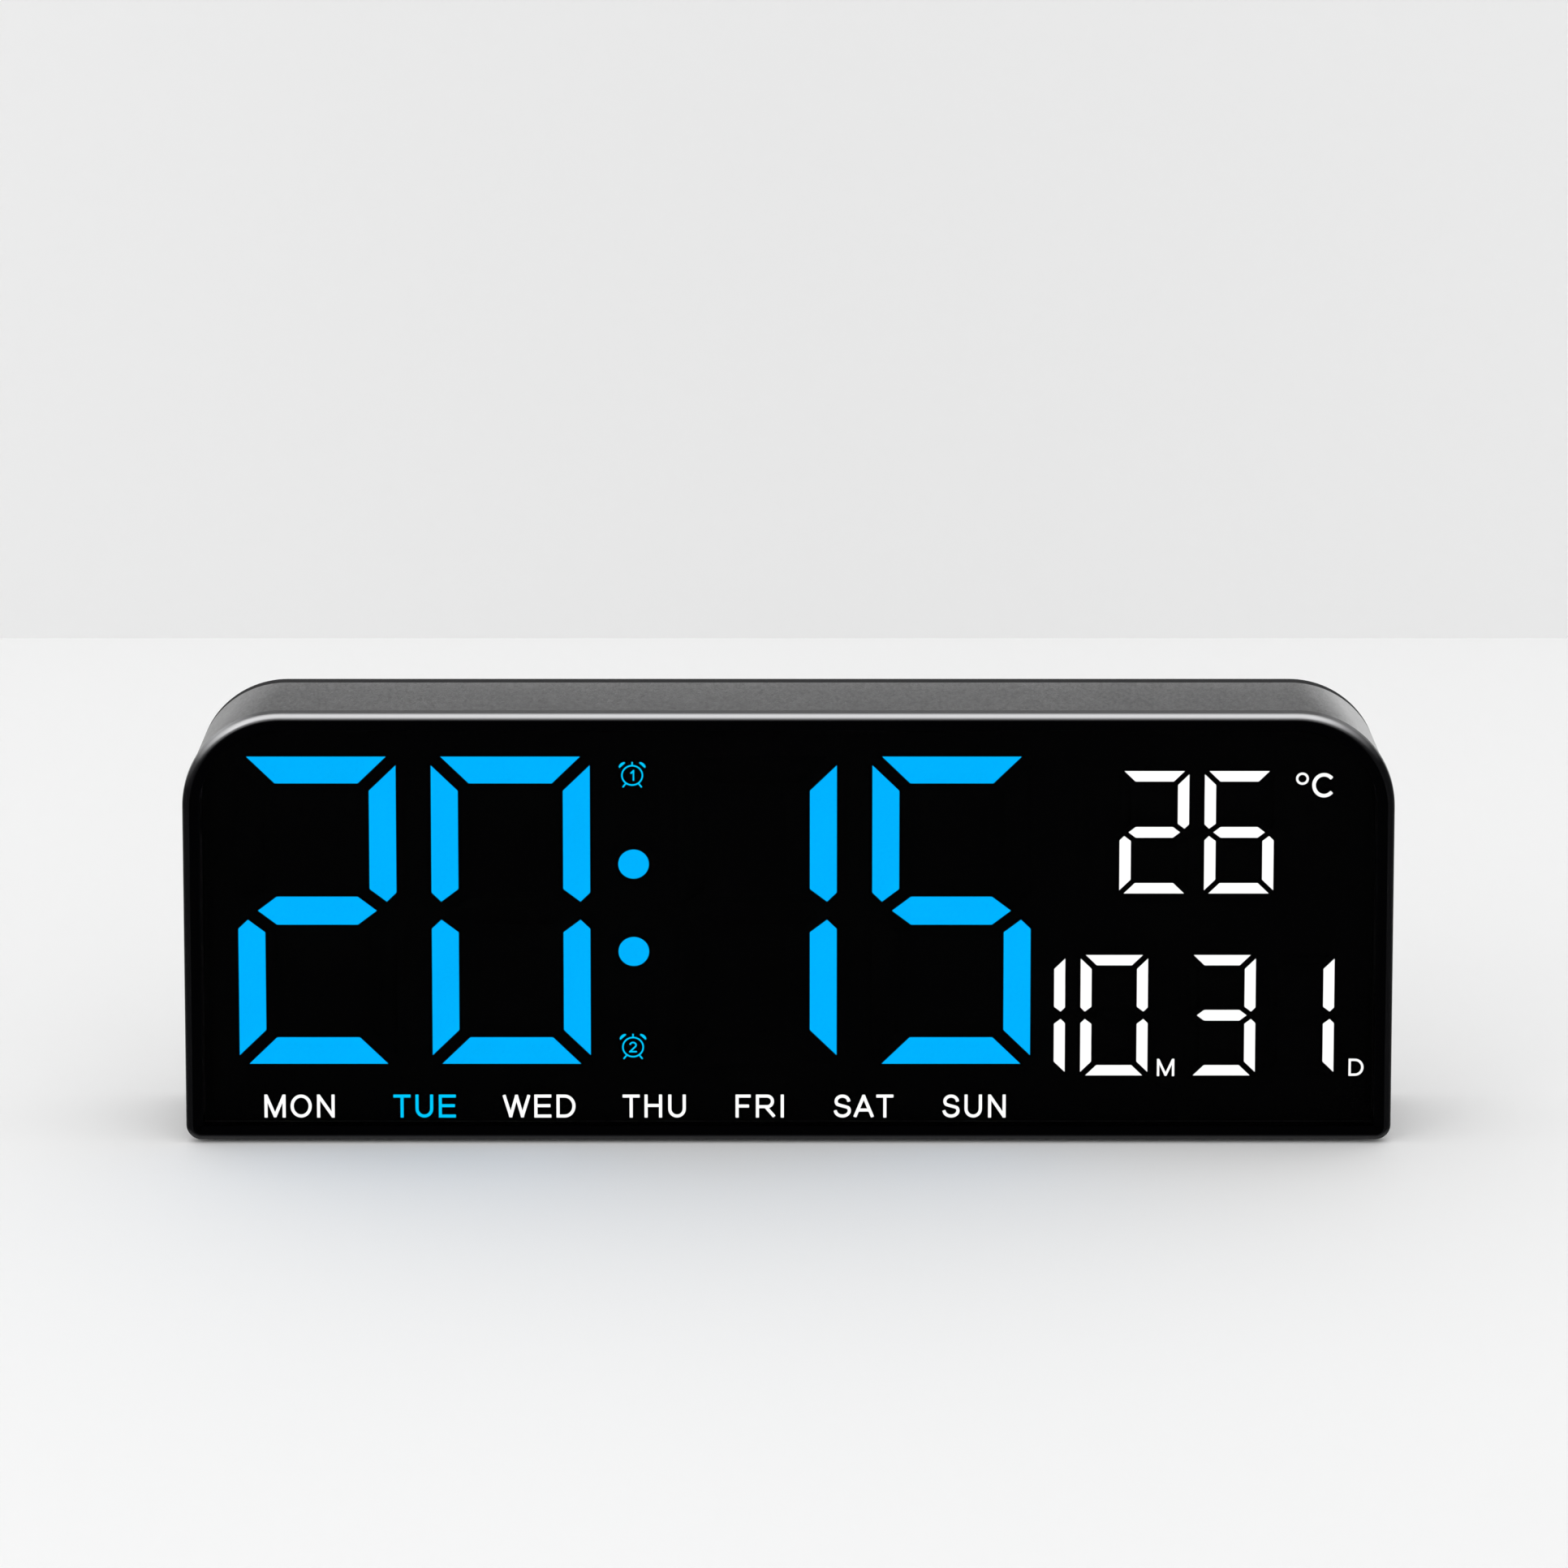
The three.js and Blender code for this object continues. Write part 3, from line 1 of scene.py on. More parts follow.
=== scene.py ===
import math
import bmesh
import bpy
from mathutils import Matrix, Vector


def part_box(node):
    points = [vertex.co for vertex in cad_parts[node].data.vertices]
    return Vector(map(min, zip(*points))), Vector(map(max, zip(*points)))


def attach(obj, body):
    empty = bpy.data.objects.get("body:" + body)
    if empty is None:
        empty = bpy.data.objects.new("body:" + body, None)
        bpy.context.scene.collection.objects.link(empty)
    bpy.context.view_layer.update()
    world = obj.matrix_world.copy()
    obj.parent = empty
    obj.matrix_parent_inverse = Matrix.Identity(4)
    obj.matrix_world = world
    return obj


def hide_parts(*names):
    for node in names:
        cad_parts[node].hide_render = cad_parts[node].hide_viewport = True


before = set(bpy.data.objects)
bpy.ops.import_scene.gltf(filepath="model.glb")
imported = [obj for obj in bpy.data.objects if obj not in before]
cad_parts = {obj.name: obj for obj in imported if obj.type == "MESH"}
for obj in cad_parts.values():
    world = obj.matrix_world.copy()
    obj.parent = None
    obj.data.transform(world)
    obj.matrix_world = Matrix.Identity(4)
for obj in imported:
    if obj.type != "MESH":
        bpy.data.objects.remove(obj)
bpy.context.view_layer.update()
mm = 0.001
weld = 0.002 * mm  # points closer than this are joined
quarterTurn = math.pi / 2

# Small helpers for picking, editing and finishing


def choose(*pieces):
    bpy.ops.object.select_all(action="DESELECT")
    for piece in pieces:
        piece.select_set(True)
    bpy.context.view_layer.objects.active = pieces[0]


def startEdit(piece):
    choose(piece)
    bpy.ops.object.mode_set(mode="EDIT")
    bpy.ops.mesh.select_all(action="SELECT")


def endEdit():
    bpy.ops.object.mode_set(mode="OBJECT")


def pick(piece, kind, test):  # kind is VERT, EDGE or FACE; test gets a place in mm and a direction
    bpy.ops.mesh.select_mode(type=kind)
    bpy.ops.mesh.select_all(action="DESELECT")
    mesh = bmesh.from_edit_mesh(piece.data)
    if kind == "FACE":
        found = [(face, face.calc_center_median(), face.normal) for face in mesh.faces]
    elif kind == "EDGE":  # only real edges, where two faces meet at an angle
        sharp = [edge for edge in mesh.edges if edge.is_manifold and edge.calc_face_angle() > 0.5]
        ends = [(edge, edge.verts[0].co, edge.verts[1].co) for edge in sharp]
        found = [(edge, (a + b) / 2, (b - a).normalized()) for edge, a, b in ends]
    else:
        found = [(point, point.co, point.normal) for point in mesh.verts]
    for part, place, direction in found:
        if test(place / mm, direction):
            part.select_set(True)
    bmesh.update_edit_mesh(piece.data)


def roundEdges(piece, radius, steps, test):
    pick(piece, "EDGE", test)
    bpy.ops.mesh.bevel(offset=radius * mm, segments=steps, affect="EDGES")


def roundRim(piece, radius, steps, test):  # rounds the edge all round the faces that pass the test
    pick(piece, "FACE", test)
    bpy.ops.mesh.region_to_loop()
    bpy.ops.mesh.bevel(offset=radius * mm, segments=steps, affect="EDGES")


def setPlace(piece, turn=(0, 0, 0), at=(0, 0, 0)):  # at is in mm
    piece.rotation_euler = turn
    piece.location = Vector(at) * mm
    choose(piece)
    bpy.ops.object.transform_apply(location=True, rotation=True, scale=True)
    return piece


def addBlock(low, high):  # corners in mm
    low, high = Vector(low), Vector(high)
    bpy.ops.mesh.primitive_cube_add(size=mm, location=(low + high) / 2 * mm, scale=high - low)
    bpy.ops.object.transform_apply(location=True, rotation=True, scale=True)
    return bpy.context.object


def addRod(radius, start, end, steps=48):  # a round rod between two points in mm
    start, end = Vector(start), Vector(end)
    bpy.ops.mesh.primitive_cylinder_add(
        vertices=steps, radius=radius * mm, depth=(end - start).length * mm,
        location=(start + end) / 2 * mm, rotation=(end - start).to_track_quat("Z", "Y").to_euler())
    bpy.ops.object.transform_apply(location=True, rotation=True, scale=True)
    return bpy.context.object


def addPlate(low, high, topRadius, bottomRadius, steps):  # a block whose edges along Y are round
    piece = addBlock(low, high)
    middle = (low[2] + high[2]) / 2
    startEdit(piece)
    roundEdges(piece, topRadius, steps, lambda at, way: abs(way.y) > 0.9 and at.z > middle)
    if bottomRadius:
        roundEdges(piece, bottomRadius, steps, lambda at, way: abs(way.y) > 0.9 and at.z < middle)
    endEdit()
    return piece


def applyModifier(piece, kind, **settings):
    choose(piece)
    modifier = piece.modifiers.new(kind.title(), kind)
    for name, value in settings.items():
        setattr(modifier, name, value)
    bpy.ops.object.modifier_apply(modifier=modifier.name)


def combine(piece, others, how):
    for tool in others:
        applyModifier(piece, "BOOLEAN", operation=how, object=tool, solver="EXACT")
        bpy.data.objects.remove(tool)
    return piece


def startDrawing():  # an empty mesh, ready in edit mode
    bpy.ops.mesh.primitive_plane_add(size=mm)
    piece = bpy.context.object
    startEdit(piece)
    bpy.ops.mesh.select_mode(type="VERT")
    bpy.ops.mesh.delete(type="VERT")
    return piece


def drawLine(points):  # adds a chain of edges through points (x, z) in mm
    bpy.ops.mesh.primitive_plane_add(size=mm)
    bpy.ops.mesh.merge(type="CENTER")
    bpy.ops.transform.translate(value=(points[0][0] * mm, 0, points[0][1] * mm))
    for (x, z), (nextX, nextZ) in zip(points, points[1:]):
        step = ((nextX - x) * mm, 0, (nextZ - z) * mm)
        bpy.ops.mesh.extrude_region_move(TRANSFORM_OT_translate={"value": step})


def addTurned(profile, steps):  # profile holds (radius, height) pairs in mm, turned about Z
    piece = startDrawing()
    drawLine(profile)
    bpy.ops.mesh.select_all(action="SELECT")
    bpy.ops.mesh.spin(steps=steps, angle=2 * math.pi, center=(0, 0, 0), axis=(0, 0, 1))
    bpy.ops.mesh.select_all(action="SELECT")
    bpy.ops.mesh.remove_doubles(threshold=weld)
    bpy.ops.mesh.normals_make_consistent(inside=False)
    endEdit()
    return piece


def copyOf(piece):
    twin = piece.copy()
    twin.data = piece.data.copy()
    bpy.context.collection.objects.link(twin)
    return twin


def mergedCopy(nodeName):  # a CAD node's shape with its loose triangles joined
    piece = bpy.data.objects.new(nodeName + "_form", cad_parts[nodeName].data.copy())
    bpy.context.collection.objects.link(piece)
    startEdit(piece)
    bpy.ops.mesh.customdata_custom_splitnormals_clear()
    bpy.ops.mesh.remove_doubles(threshold=weld)
    bpy.ops.mesh.dissolve_limited(angle_limit=math.radians(0.5))
    endEdit()
    return piece


def finishPiece(piece, name, body, materials, instead=(), smooth=32):
    piece.name = name
    piece.data.name = name
    piece.data.materials.clear()
    for material in materials:
        piece.data.materials.append(material)
    choose(piece)
    bpy.ops.object.shade_smooth_by_angle(angle=math.radians(smooth))
    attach(piece, body)
    if instead:
        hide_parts(*instead)


def paintFaces(piece, index, test):  # gives the faces that pass the test another of its materials
    for face in piece.data.polygons:
        if test(face.center / mm, face.normal):
            face.material_index = index


# Effects that several materials share, as node groups


def newGroup(name, inputs, outputs):
    group = bpy.data.node_groups.new(name, "ShaderNodeTree")
    for socketName, kind, value in inputs:
        socket = group.interface.new_socket(socketName, in_out="INPUT", socket_type=kind)
        socket.default_value = value
    for socketName, kind in outputs:
        group.interface.new_socket(socketName, in_out="OUTPUT", socket_type=kind)
    return group, group.nodes.new("NodeGroupInput"), group.nodes.new("NodeGroupOutput")


def addNode(tree, kind, **settings):
    node = tree.nodes.new(kind)
    for name, value in settings.items():
        setattr(node, name, value)
    return node


def addMath(tree, operation, *values):
    node = addNode(tree, "ShaderNodeMath", operation=operation)
    for socket, value in zip(node.inputs, values):
        if isinstance(value, (int, float)):
            socket.default_value = value
        else:
            tree.links.new(value, socket)
    return node.outputs[0]


def addMix(tree, share, first, second):  # mixes two colours
    node = addNode(tree, "ShaderNodeMix", data_type="RGBA")
    for socket, value in ((node.inputs[0], share), (node.inputs[6], first), (node.inputs[7], second)):
        if isinstance(value, bpy.types.NodeSocket):
            tree.links.new(value, socket)
        else:
            socket.default_value = value
    return node.outputs[2]


def addNoise(tree, place, scale, detail, roughness=0.5):
    node = addNode(tree, "ShaderNodeTexNoise")
    tree.links.new(place, node.inputs["Vector"])
    if isinstance(scale, (int, float)):
        node.inputs["Scale"].default_value = scale
    else:
        tree.links.new(scale, node.inputs["Scale"])
    node.inputs["Detail"].default_value = detail
    node.inputs["Roughness"].default_value = roughness
    return node.outputs["Fac"]


def mapRange(tree, value, fromLow, fromHigh, toLow, toHigh):
    node = addNode(tree, "ShaderNodeMapRange")
    tree.links.new(value, node.inputs["Value"])
    limits = (fromLow, fromHigh, toLow, toHigh)
    for name, limit in zip(("From Min", "From Max", "To Min", "To Max"), limits):
        if isinstance(limit, (int, float)):
            node.inputs[name].default_value = limit
        else:
            tree.links.new(limit, node.inputs[name])
    return node.outputs["Result"]


def addRamp(tree, value, stops):  # stops are (position, grey level) pairs in rising order
    node = addNode(tree, "ShaderNodeValToRGB")
    tree.links.new(value, node.inputs["Fac"])
    marks = node.color_ramp.elements
    marks[0].position = stops[0][0]
    marks[1].position = stops[-1][0]
    for stop in stops[1:-1]:
        marks.new(stop[0])
    for mark, stop in zip(marks, stops):
        mark.color = (stop[1], stop[1], stop[1], 1)
    return node.outputs["Color"]


def addPlace(tree):  # where a point lies on its piece
    return addNode(tree, "ShaderNodeTexCoord").outputs["Object"]


def addNormal(tree):  # the three parts of the object normal
    split = addNode(tree, "ShaderNodeSeparateXYZ")
    tree.links.new(addNode(tree, "ShaderNodeTexCoord").outputs["Normal"], split.inputs[0])
    return split.outputs["X"], split.outputs["Y"], split.outputs["Z"]


def makeMouldGrain():  # the fine matt grain of a moulding, with slow changes of shade
    group, given, out = newGroup(
        "mouldGrain",
        [("Colour", "NodeSocketColor", (0.04, 0.04, 0.04, 1)),
         ("Fineness", "NodeSocketFloat", 3000),
         ("Spread", "NodeSocketFloat", 0.3),
         ("Roughness", "NodeSocketFloat", 0.5)],
        [("Colour", "NodeSocketColor"), ("Roughness", "NodeSocketFloat"), ("Height", "NodeSocketFloat")])
    place = addPlace(group)
    grain = addNoise(group, place, given.outputs["Fineness"], 3, 0.6)
    patches = addNoise(group, place, 35, 2)
    cloud = addMath(group, "ADD", grain, addMath(group, "MULTIPLY", patches, 0.35))
    low = addMath(group, "SUBTRACT", 1, given.outputs["Spread"])
    high = addMath(group, "ADD", 1, given.outputs["Spread"])
    shade = mapRange(group, cloud, 0.45, 0.9, low, high)
    tint = addNode(group, "ShaderNodeVectorMath", operation="SCALE")
    group.links.new(given.outputs["Colour"], tint.inputs[0])
    group.links.new(shade, tint.inputs["Scale"])
    group.links.new(tint.outputs[0], out.inputs["Colour"])
    change = mapRange(group, cloud, 0.45, 0.9, -0.12, 0.12)
    rough = addMath(group, "ADD", given.outputs["Roughness"], change)
    group.links.new(rough, out.inputs["Roughness"])
    group.links.new(grain, out.inputs["Height"])
    return group


def makeHandling():  # faint smears and dust that break up a smooth surface
    group, given, out = newGroup(
        "handling",
        [("Colour", "NodeSocketColor", (0.01, 0.01, 0.01, 1)),
         ("Dust", "NodeSocketColor", (0.2, 0.2, 0.2, 1)),
         ("Amount", "NodeSocketFloat", 0.02),
         ("Roughness", "NodeSocketFloat", 0.1),
         ("Smear", "NodeSocketFloat", 0.05)],
        [("Colour", "NodeSocketColor"), ("Roughness", "NodeSocketFloat"), ("Height", "NodeSocketFloat")])
    place = addPlace(group)
    smears = addNoise(group, place, 60, 5, 0.6)
    specks = addNoise(group, place, 1800, 1)
    share = addMath(group, "MULTIPLY", mapRange(group, specks, 0.68, 0.8, 0, 1), given.outputs["Amount"])
    dusty = addMix(group, share, given.outputs["Colour"], given.outputs["Dust"])
    group.links.new(dusty, out.inputs["Colour"])
    spread = addMath(group, "MULTIPLY", mapRange(group, smears, 0.4, 0.7, 0, 1), given.outputs["Smear"])
    group.links.new(addMath(group, "ADD", given.outputs["Roughness"], spread), out.inputs["Roughness"])
    group.links.new(smears, out.inputs["Height"])
    return group


def makeMetalGrain():  # fine drawn lines and small stains on plated metal
    group, given, out = newGroup(
        "metalGrain",
        [("Colour", "NodeSocketColor", (0.7, 0.7, 0.7, 1)),
         ("Stain", "NodeSocketColor", (0.3, 0.28, 0.25, 1)),
         ("Roughness", "NodeSocketFloat", 0.3)],
        [("Colour", "NodeSocketColor"), ("Roughness", "NodeSocketFloat"), ("Height", "NodeSocketFloat")])
    place = addPlace(group)
    stretch = addNode(group, "ShaderNodeMapping")
    stretch.inputs["Scale"].default_value = (0.08, 1, 1)
    group.links.new(place, stretch.inputs["Vector"])
    lines = addNoise(group, stretch.outputs["Vector"], 4500, 2)
    stains = addNoise(group, place, 260, 4, 0.6)
    share = mapRange(group, stains, 0.5, 0.85, 0, 0.6)
    stained = addMix(group, share, given.outputs["Colour"], given.outputs["Stain"])
    group.links.new(stained, out.inputs["Colour"])
    change = mapRange(group, lines, 0.35, 0.65, -0.08, 0.12)
    rough = addMath(group, "ADD", given.outputs["Roughness"], change)
    group.links.new(rough, out.inputs["Roughness"])
    group.links.new(lines, out.inputs["Height"])
    return group


def newMaterial(name, shaderValues):
    material = bpy.data.materials.new(name)
    material.use_nodes = True
    shader = material.node_tree.nodes["Principled BSDF"]
    for socketName, value in shaderValues.items():
        shader.inputs[socketName].default_value = value
    return material, material.node_tree, shader


def dress(tree, shader, group, values, bumpDepth):  # places a group and feeds the shader from it
    effect = addNode(tree, "ShaderNodeGroup", node_tree=group)
    for socketName, value in values.items():
        effect.inputs[socketName].default_value = value
    tree.links.new(effect.outputs["Colour"], shader.inputs["Base Color"])
    tree.links.new(effect.outputs["Roughness"], shader.inputs["Roughness"])
    bump = addNode(tree, "ShaderNodeBump")
    bump.inputs["Strength"].default_value = 1
    bump.inputs["Distance"].default_value = bumpDepth * mm
    tree.links.new(effect.outputs["Height"], bump.inputs["Height"])
    tree.links.new(bump.outputs["Normal"], shader.inputs["Normal"])
    return effect


mouldGrain = makeMouldGrain()
handling = makeHandling()
metalGrain = makeMetalGrain()

# Materials, one function for each kind of finish
charcoal = (0.022, 0.0222, 0.023)


def makeMoulded(name, colour, roughness, fineness, depth, spread=0.3, specular=0.5):  # depth in mm
    material, tree, shader = newMaterial(name, {"Specular IOR Level": specular})
    values = {"Colour": (*colour, 1), "Fineness": fineness, "Spread": spread, "Roughness": roughness}
    dress(tree, shader, mouldGrain, values, depth)
    return material


def makeCasePlastic():  # matt charcoal with a painted sheen: a lighter, slightly mottled colour mixed in where the surface is seen at a low angle
    material, tree, shader = newMaterial("casePlasticPaintedSheen", {"Specular IOR Level": 0.2})
    effect = dress(
        tree, shader, mouldGrain,
        {"Colour": (*charcoal, 1), "Fineness": 2200, "Spread": 0.6, "Roughness": 0.34}, 0.03)
    stretch = addNode(tree, "ShaderNodeMapping")
    stretch.inputs["Scale"].default_value = (1, 0.36, 1)
    tree.links.new(addPlace(tree), stretch.inputs["Vector"])
    mottle = mapRange(tree, addNoise(tree, stretch.outputs["Vector"], 1300, 2), 0.3, 0.7, 0, 1)
    facing = addNode(tree, "ShaderNodeLayerWeight").outputs["Facing"]  # for the painted sheen
    paintedSheen = addRamp(tree, facing, ((0.5, 0), (0.735, 0.005), (0.83, 0.27)))
    sideways = addNormal(tree)[0]
    # painted light: the painted sheen is made stronger on the right side than on the left
    even = addMath(tree, "MULTIPLY", paintedSheen, mapRange(tree, sideways, -0.5, 0.7, 0.61, 1.82))
    paintedSheenMottle = addMath(tree, "MULTIPLY", mapRange(tree, facing, 0.55, 0.73, 0, 0.06), mottle)
    share = addMath(tree, "ADD", even, paintedSheenMottle)
    tree.links.new(
        addMix(tree, share, effect.outputs["Colour"], (0.8, 0.8, 0.8, 1)), shader.inputs["Base Color"])
    return material


def makeSmooth(name, colour, roughness, dust, smear, specular=0.5):
    material, tree, shader = newMaterial(name, {"Specular IOR Level": specular})
    values = {"Colour": (*colour, 1), "Roughness": roughness, "Amount": dust, "Smear": smear}
    dress(tree, shader, handling, values, 0.002)
    return material


def makeMetal(name, colour, stain, roughness, depth=0.004):
    material, tree, shader = newMaterial(name, {"Metallic": 1.0})
    values = {"Colour": (*colour, 1), "Stain": (*stain, 1), "Roughness": roughness}
    dress(tree, shader, metalGrain, values, depth)
    return material


def makeLensFace():
    material, tree, shader = newMaterial("smokedFace", {"Specular IOR Level": 0.004, "Alpha": 0.37})
    values = {"Colour": (0.0012, 0.0012, 0.0014, 1), "Amount": 0.0, "Roughness": 0.06, "Smear": 0.04}
    dress(tree, shader, handling, values, 0.0005)
    return material


def makeLensEdge():  # the polished edge with a painted highlight: a light colour and some metal are mixed in where it faces up, fading round the corners, and a faint painted glint where it faces down
    material, tree, shader = newMaterial("polishedEdgePaintedHighlight", {"Specular IOR Level": 0.03})
    effect = dress(
        tree, shader, handling,
        {"Colour": (0.003, 0.003, 0.0035, 1), "Amount": 0.0, "Roughness": 0.16, "Smear": 0.06}, 0.0005)
    sideways, depth, upright = addNormal(tree)
    outward = addMath(tree, "SQRT", addMath(tree, "SUBTRACT", 1, addMath(tree, "MULTIPLY", depth, depth)))
    slope = addMath(tree, "MULTIPLY", addMath(tree, "ADD", outward, upright), 0.5)
    across = addRamp(tree, slope, (  # from the face over the rounding to the side
        (0.12, 0), (0.34, 0.24), (0.53, 0.9), (0.7, 1.0), (0.887, 0.6), (0.99, 0.09)))
    turned = mapRange(tree, addMath(tree, "ARCTAN2", sideways, upright), -math.pi, math.pi, 0, 1)
    around = addRamp(tree, turned, (  # from the left side over the top to the right side
        (0.28, 0), (0.333, 0.09), (0.361, 0.4), (0.389, 0.72), (0.417, 0.95), (0.44, 1),
        (0.53, 1), (0.556, 0.8), (0.583, 0.45), (0.611, 0.2), (0.639, 0.05), (0.667, 0)))
    # painted light: a faint glint where the edge faces down, added to the painted highlight on its top
    paintedUnderGlint = mapRange(tree, upright, -0.1, -0.35, 0, 0.045)
    paintedHighlight = addMath(tree, "ADD", addMath(tree, "MULTIPLY", across, around), paintedUnderGlint)
    tree.links.new(
        addMix(tree, paintedHighlight, effect.outputs["Colour"], (0.67, 0.67, 0.68, 1)), shader.inputs["Base Color"])
    tree.links.new(addMath(tree, "MULTIPLY", paintedHighlight, 0.35), shader.inputs["Metallic"])
    return material


def makeLit(name, colour, strength):  # a window with a lamp behind it, a little uneven
    material, tree, shader = newMaterial(
        name, {"Base Color": (0, 0, 0, 1), "Specular IOR Level": 0, "Emission Strength": strength})
    share = mapRange(tree, addNoise(tree, addPlace(tree), 90, 1), 0.3, 0.7, 0, 1)
    dim = tuple(0.97 * part for part in colour)
    tree.links.new(addMix(tree, share, (*dim, 1), (*colour, 1)), shader.inputs["Emission Color"])
    return material


def makeBoard():  # green mask with lighter tracks under it
    material, tree, shader = newMaterial("solderMask", {"Coat Weight": 0.4, "Coat Roughness": 0.15})
    effect = dress(
        tree, shader, handling,
        {"Colour": (0.012, 0.085, 0.035, 1), "Amount": 0.1, "Roughness": 0.35, "Smear": 0.1}, 0.003)
    turn = addNode(tree, "ShaderNodeMapping")
    turn.inputs["Rotation"].default_value = (quarterTurn, 0, 0)
    tree.links.new(addPlace(tree), turn.inputs["Vector"])
    tracks = addNode(tree, "ShaderNodeTexBrick")
    tree.links.new(turn.outputs["Vector"], tracks.inputs["Vector"])
    tracks.inputs["Scale"].default_value = 160
    tracks.inputs["Mortar Size"].default_value = 0.05
    share = mapRange(tree, tracks.outputs["Fac"], 0, 1, 0, 0.5)
    mixed = addMix(tree, share, effect.outputs["Colour"], (0.03, 0.2, 0.08, 1))
    tree.links.new(mixed, shader.inputs["Base Color"])
    return material


def makeStripes():  # the grey flat cable, with painted shade: a darker stripe along the groove between its wires
    material, tree, shader = newMaterial("flatCable", {"Roughness": 0.5})
    effect = dress(
        tree, shader, handling,
        {"Colour": (0.42, 0.43, 0.45, 1), "Amount": 0.05, "Roughness": 0.45, "Smear": 0.1}, 0.003)
    split = addNode(tree, "ShaderNodeSeparateXYZ")
    tree.links.new(addPlace(tree), split.inputs[0])
    wirePitch = 1.27 * mm
    wave = addMath(tree, "SINE", addMath(tree, "MULTIPLY", split.outputs["X"], 2 * math.pi / wirePitch))
    # painted shade in each groove between the wires
    share = mapRange(tree, wave, -1, -0.6, 0.6, 0)
    mixed = addMix(tree, share, effect.outputs["Colour"], (0.16, 0.17, 0.18, 1))
    tree.links.new(mixed, shader.inputs["Base Color"])
    return material


casePlasticPaintedSheen = makeCasePlastic()
# painted shade: a darker band with almost no gloss along the case's rear edge
paintedShadeBand = makeMoulded("paintedShadeBand", (0.028, 0.028, 0.029), 0.6, 2200, 0.01, 0.2, 0.01)
coverPlastic = makeMoulded("coverPlastic", (0.03, 0.0305, 0.032), 0.52, 2200, 0.03, 0.35)
buttonPlastic = makeMoulded("buttonPlastic", (0.05, 0.05, 0.055), 0.38, 4500, 0.006, 0.15)
blackMoulding = makeMoulded("blackMoulding", (0.014, 0.014, 0.015), 0.45, 3500, 0.01)
smokeDiffuser = makeMoulded("smokeDiffuser", (0.05, 0.055, 0.06), 0.35, 5000, 0.004)
greyPrint = makeMoulded("greyPrint", (0.42, 0.42, 0.42), 0.6, 4500, 0.004, 0.1, 0.2)
footRubber = makeMoulded("footRubber", (0.016, 0.016, 0.016), 0.75, 1600, 0.03, 0.25, 0.3)
blackTape = makeMoulded("blackTape", (0.01, 0.01, 0.01), 0.9, 2500, 0.04, 0.4, 0.1)
blackFilm = makeMoulded("blackFilm", (0.002, 0.002, 0.002), 0.7, 5000, 0.002, 0.2, 0.0)
smokedFace = makeLensFace()
blackBorder = makeSmooth("blackBorder", (0.0008, 0.0008, 0.001), 0.3, 0, 0.05, 0.0)
polishedEdgePaintedHighlight = makeLensEdge()
unlitWindow = makeMoulded("unlitWindow", (0.002, 0.002, 0.002), 0.7, 5000, 0.002, 0.2, 0.0)
litBlue = makeLit("litBlue", (0.0, 0.445, 1.0), 2.6)
litWhite = makeLit("litWhite", (1.0, 1.0, 1.0), 2.7)
litCyan = makeLit("litCyan", (0.0, 0.56, 0.95), 2.6)
nickel = makeMetal("nickel", (0.62, 0.61, 0.58), (0.4, 0.37, 0.33), 0.28)
darkZinc = makeMetal("darkZinc", (0.2, 0.2, 0.21), (0.08, 0.08, 0.085), 0.34)
solderMask = makeBoard()
flatCable = makeStripes()
redWire = makeSmooth("redWire", (0.42, 0.012, 0.01), 0.35, 0.05, 0.08)
blackWire = makeSmooth("blackWire", (0.01, 0.01, 0.01), 0.35, 0.05, 0.08)
cellWrap = makeSmooth("cellWrap", (0.02, 0.024, 0.03), 0.28, 0.04, 0.08)
cellBand = makeSmooth("cellBand", (0.42, 0.44, 0.46), 0.3, 0.04, 0.08)
goldPlate = makeMetal("goldPlate", (0.85, 0.6, 0.25), (0.6, 0.4, 0.15), 0.22)

finishOfSlot = {
    "smoked_lens": polishedEdgePaintedHighlight, "black_tape": blackTape, "black_film": blackFilm,
    "case_plastic": casePlasticPaintedSheen, "smoke_diffuser": smokeDiffuser, "circuit_board": solderMask,
    "cell_can": cellWrap, "plated_steel": nickel, "moulded_black": blackMoulding,
    "button_plastic": buttonPlastic, "ribbon_insulation": flatCable, "red_insulation": redWire,
    "black_insulation": blackWire, "steel": darkZinc, "foot_rubber": footRubber,
}
print("materials made")


def boxOf(nodeName):  # a node's lowest and highest corner in mm
    low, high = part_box(nodeName)
    return low / mm, high / mm


# The smoked front: one plate with large upper corners and a polished round edge
front = {"topRadius": 18.4, "bottomRadius": 2.9, "edgeRadius": 1.3, "cornerSteps": 28, "edgeSteps": 10,
         "frontBorder": 1.9, "backBorder": 3.0, "flat": 0.9999}


def makeFront():
    low, high = boxOf("front_lens")
    piece = addPlate(low, high, front["topRadius"], front["bottomRadius"], front["cornerSteps"])
    startEdit(piece)
    roundRim(piece, front["edgeRadius"], front["edgeSteps"], lambda at, way: way.y < -front["flat"])
    for side, border in ((-1, front["frontBorder"]), (1, front["backBorder"])):
        pick(piece, "FACE", lambda at, way: side * way.y > front["flat"])
        bpy.ops.mesh.inset(thickness=border * mm, depth=0)
    endEdit()
    finishPiece(
        piece, "smoked_front", "clock", [polishedEdgePaintedHighlight, smokedFace, blackBorder],
        ["front_lens"])
    paintFaces(piece, 2, lambda at, way: abs(way.y) > front["flat"])
    middle = (low + high) / 2
    near = (high.z - low.z) / 4  # only the two large inner faces have their middle so near the plate's
    paintFaces(piece, 1, lambda at, way: abs(way.y) > front["flat"] and (at - middle).length < near)


makeFront()
print("smoked front made")

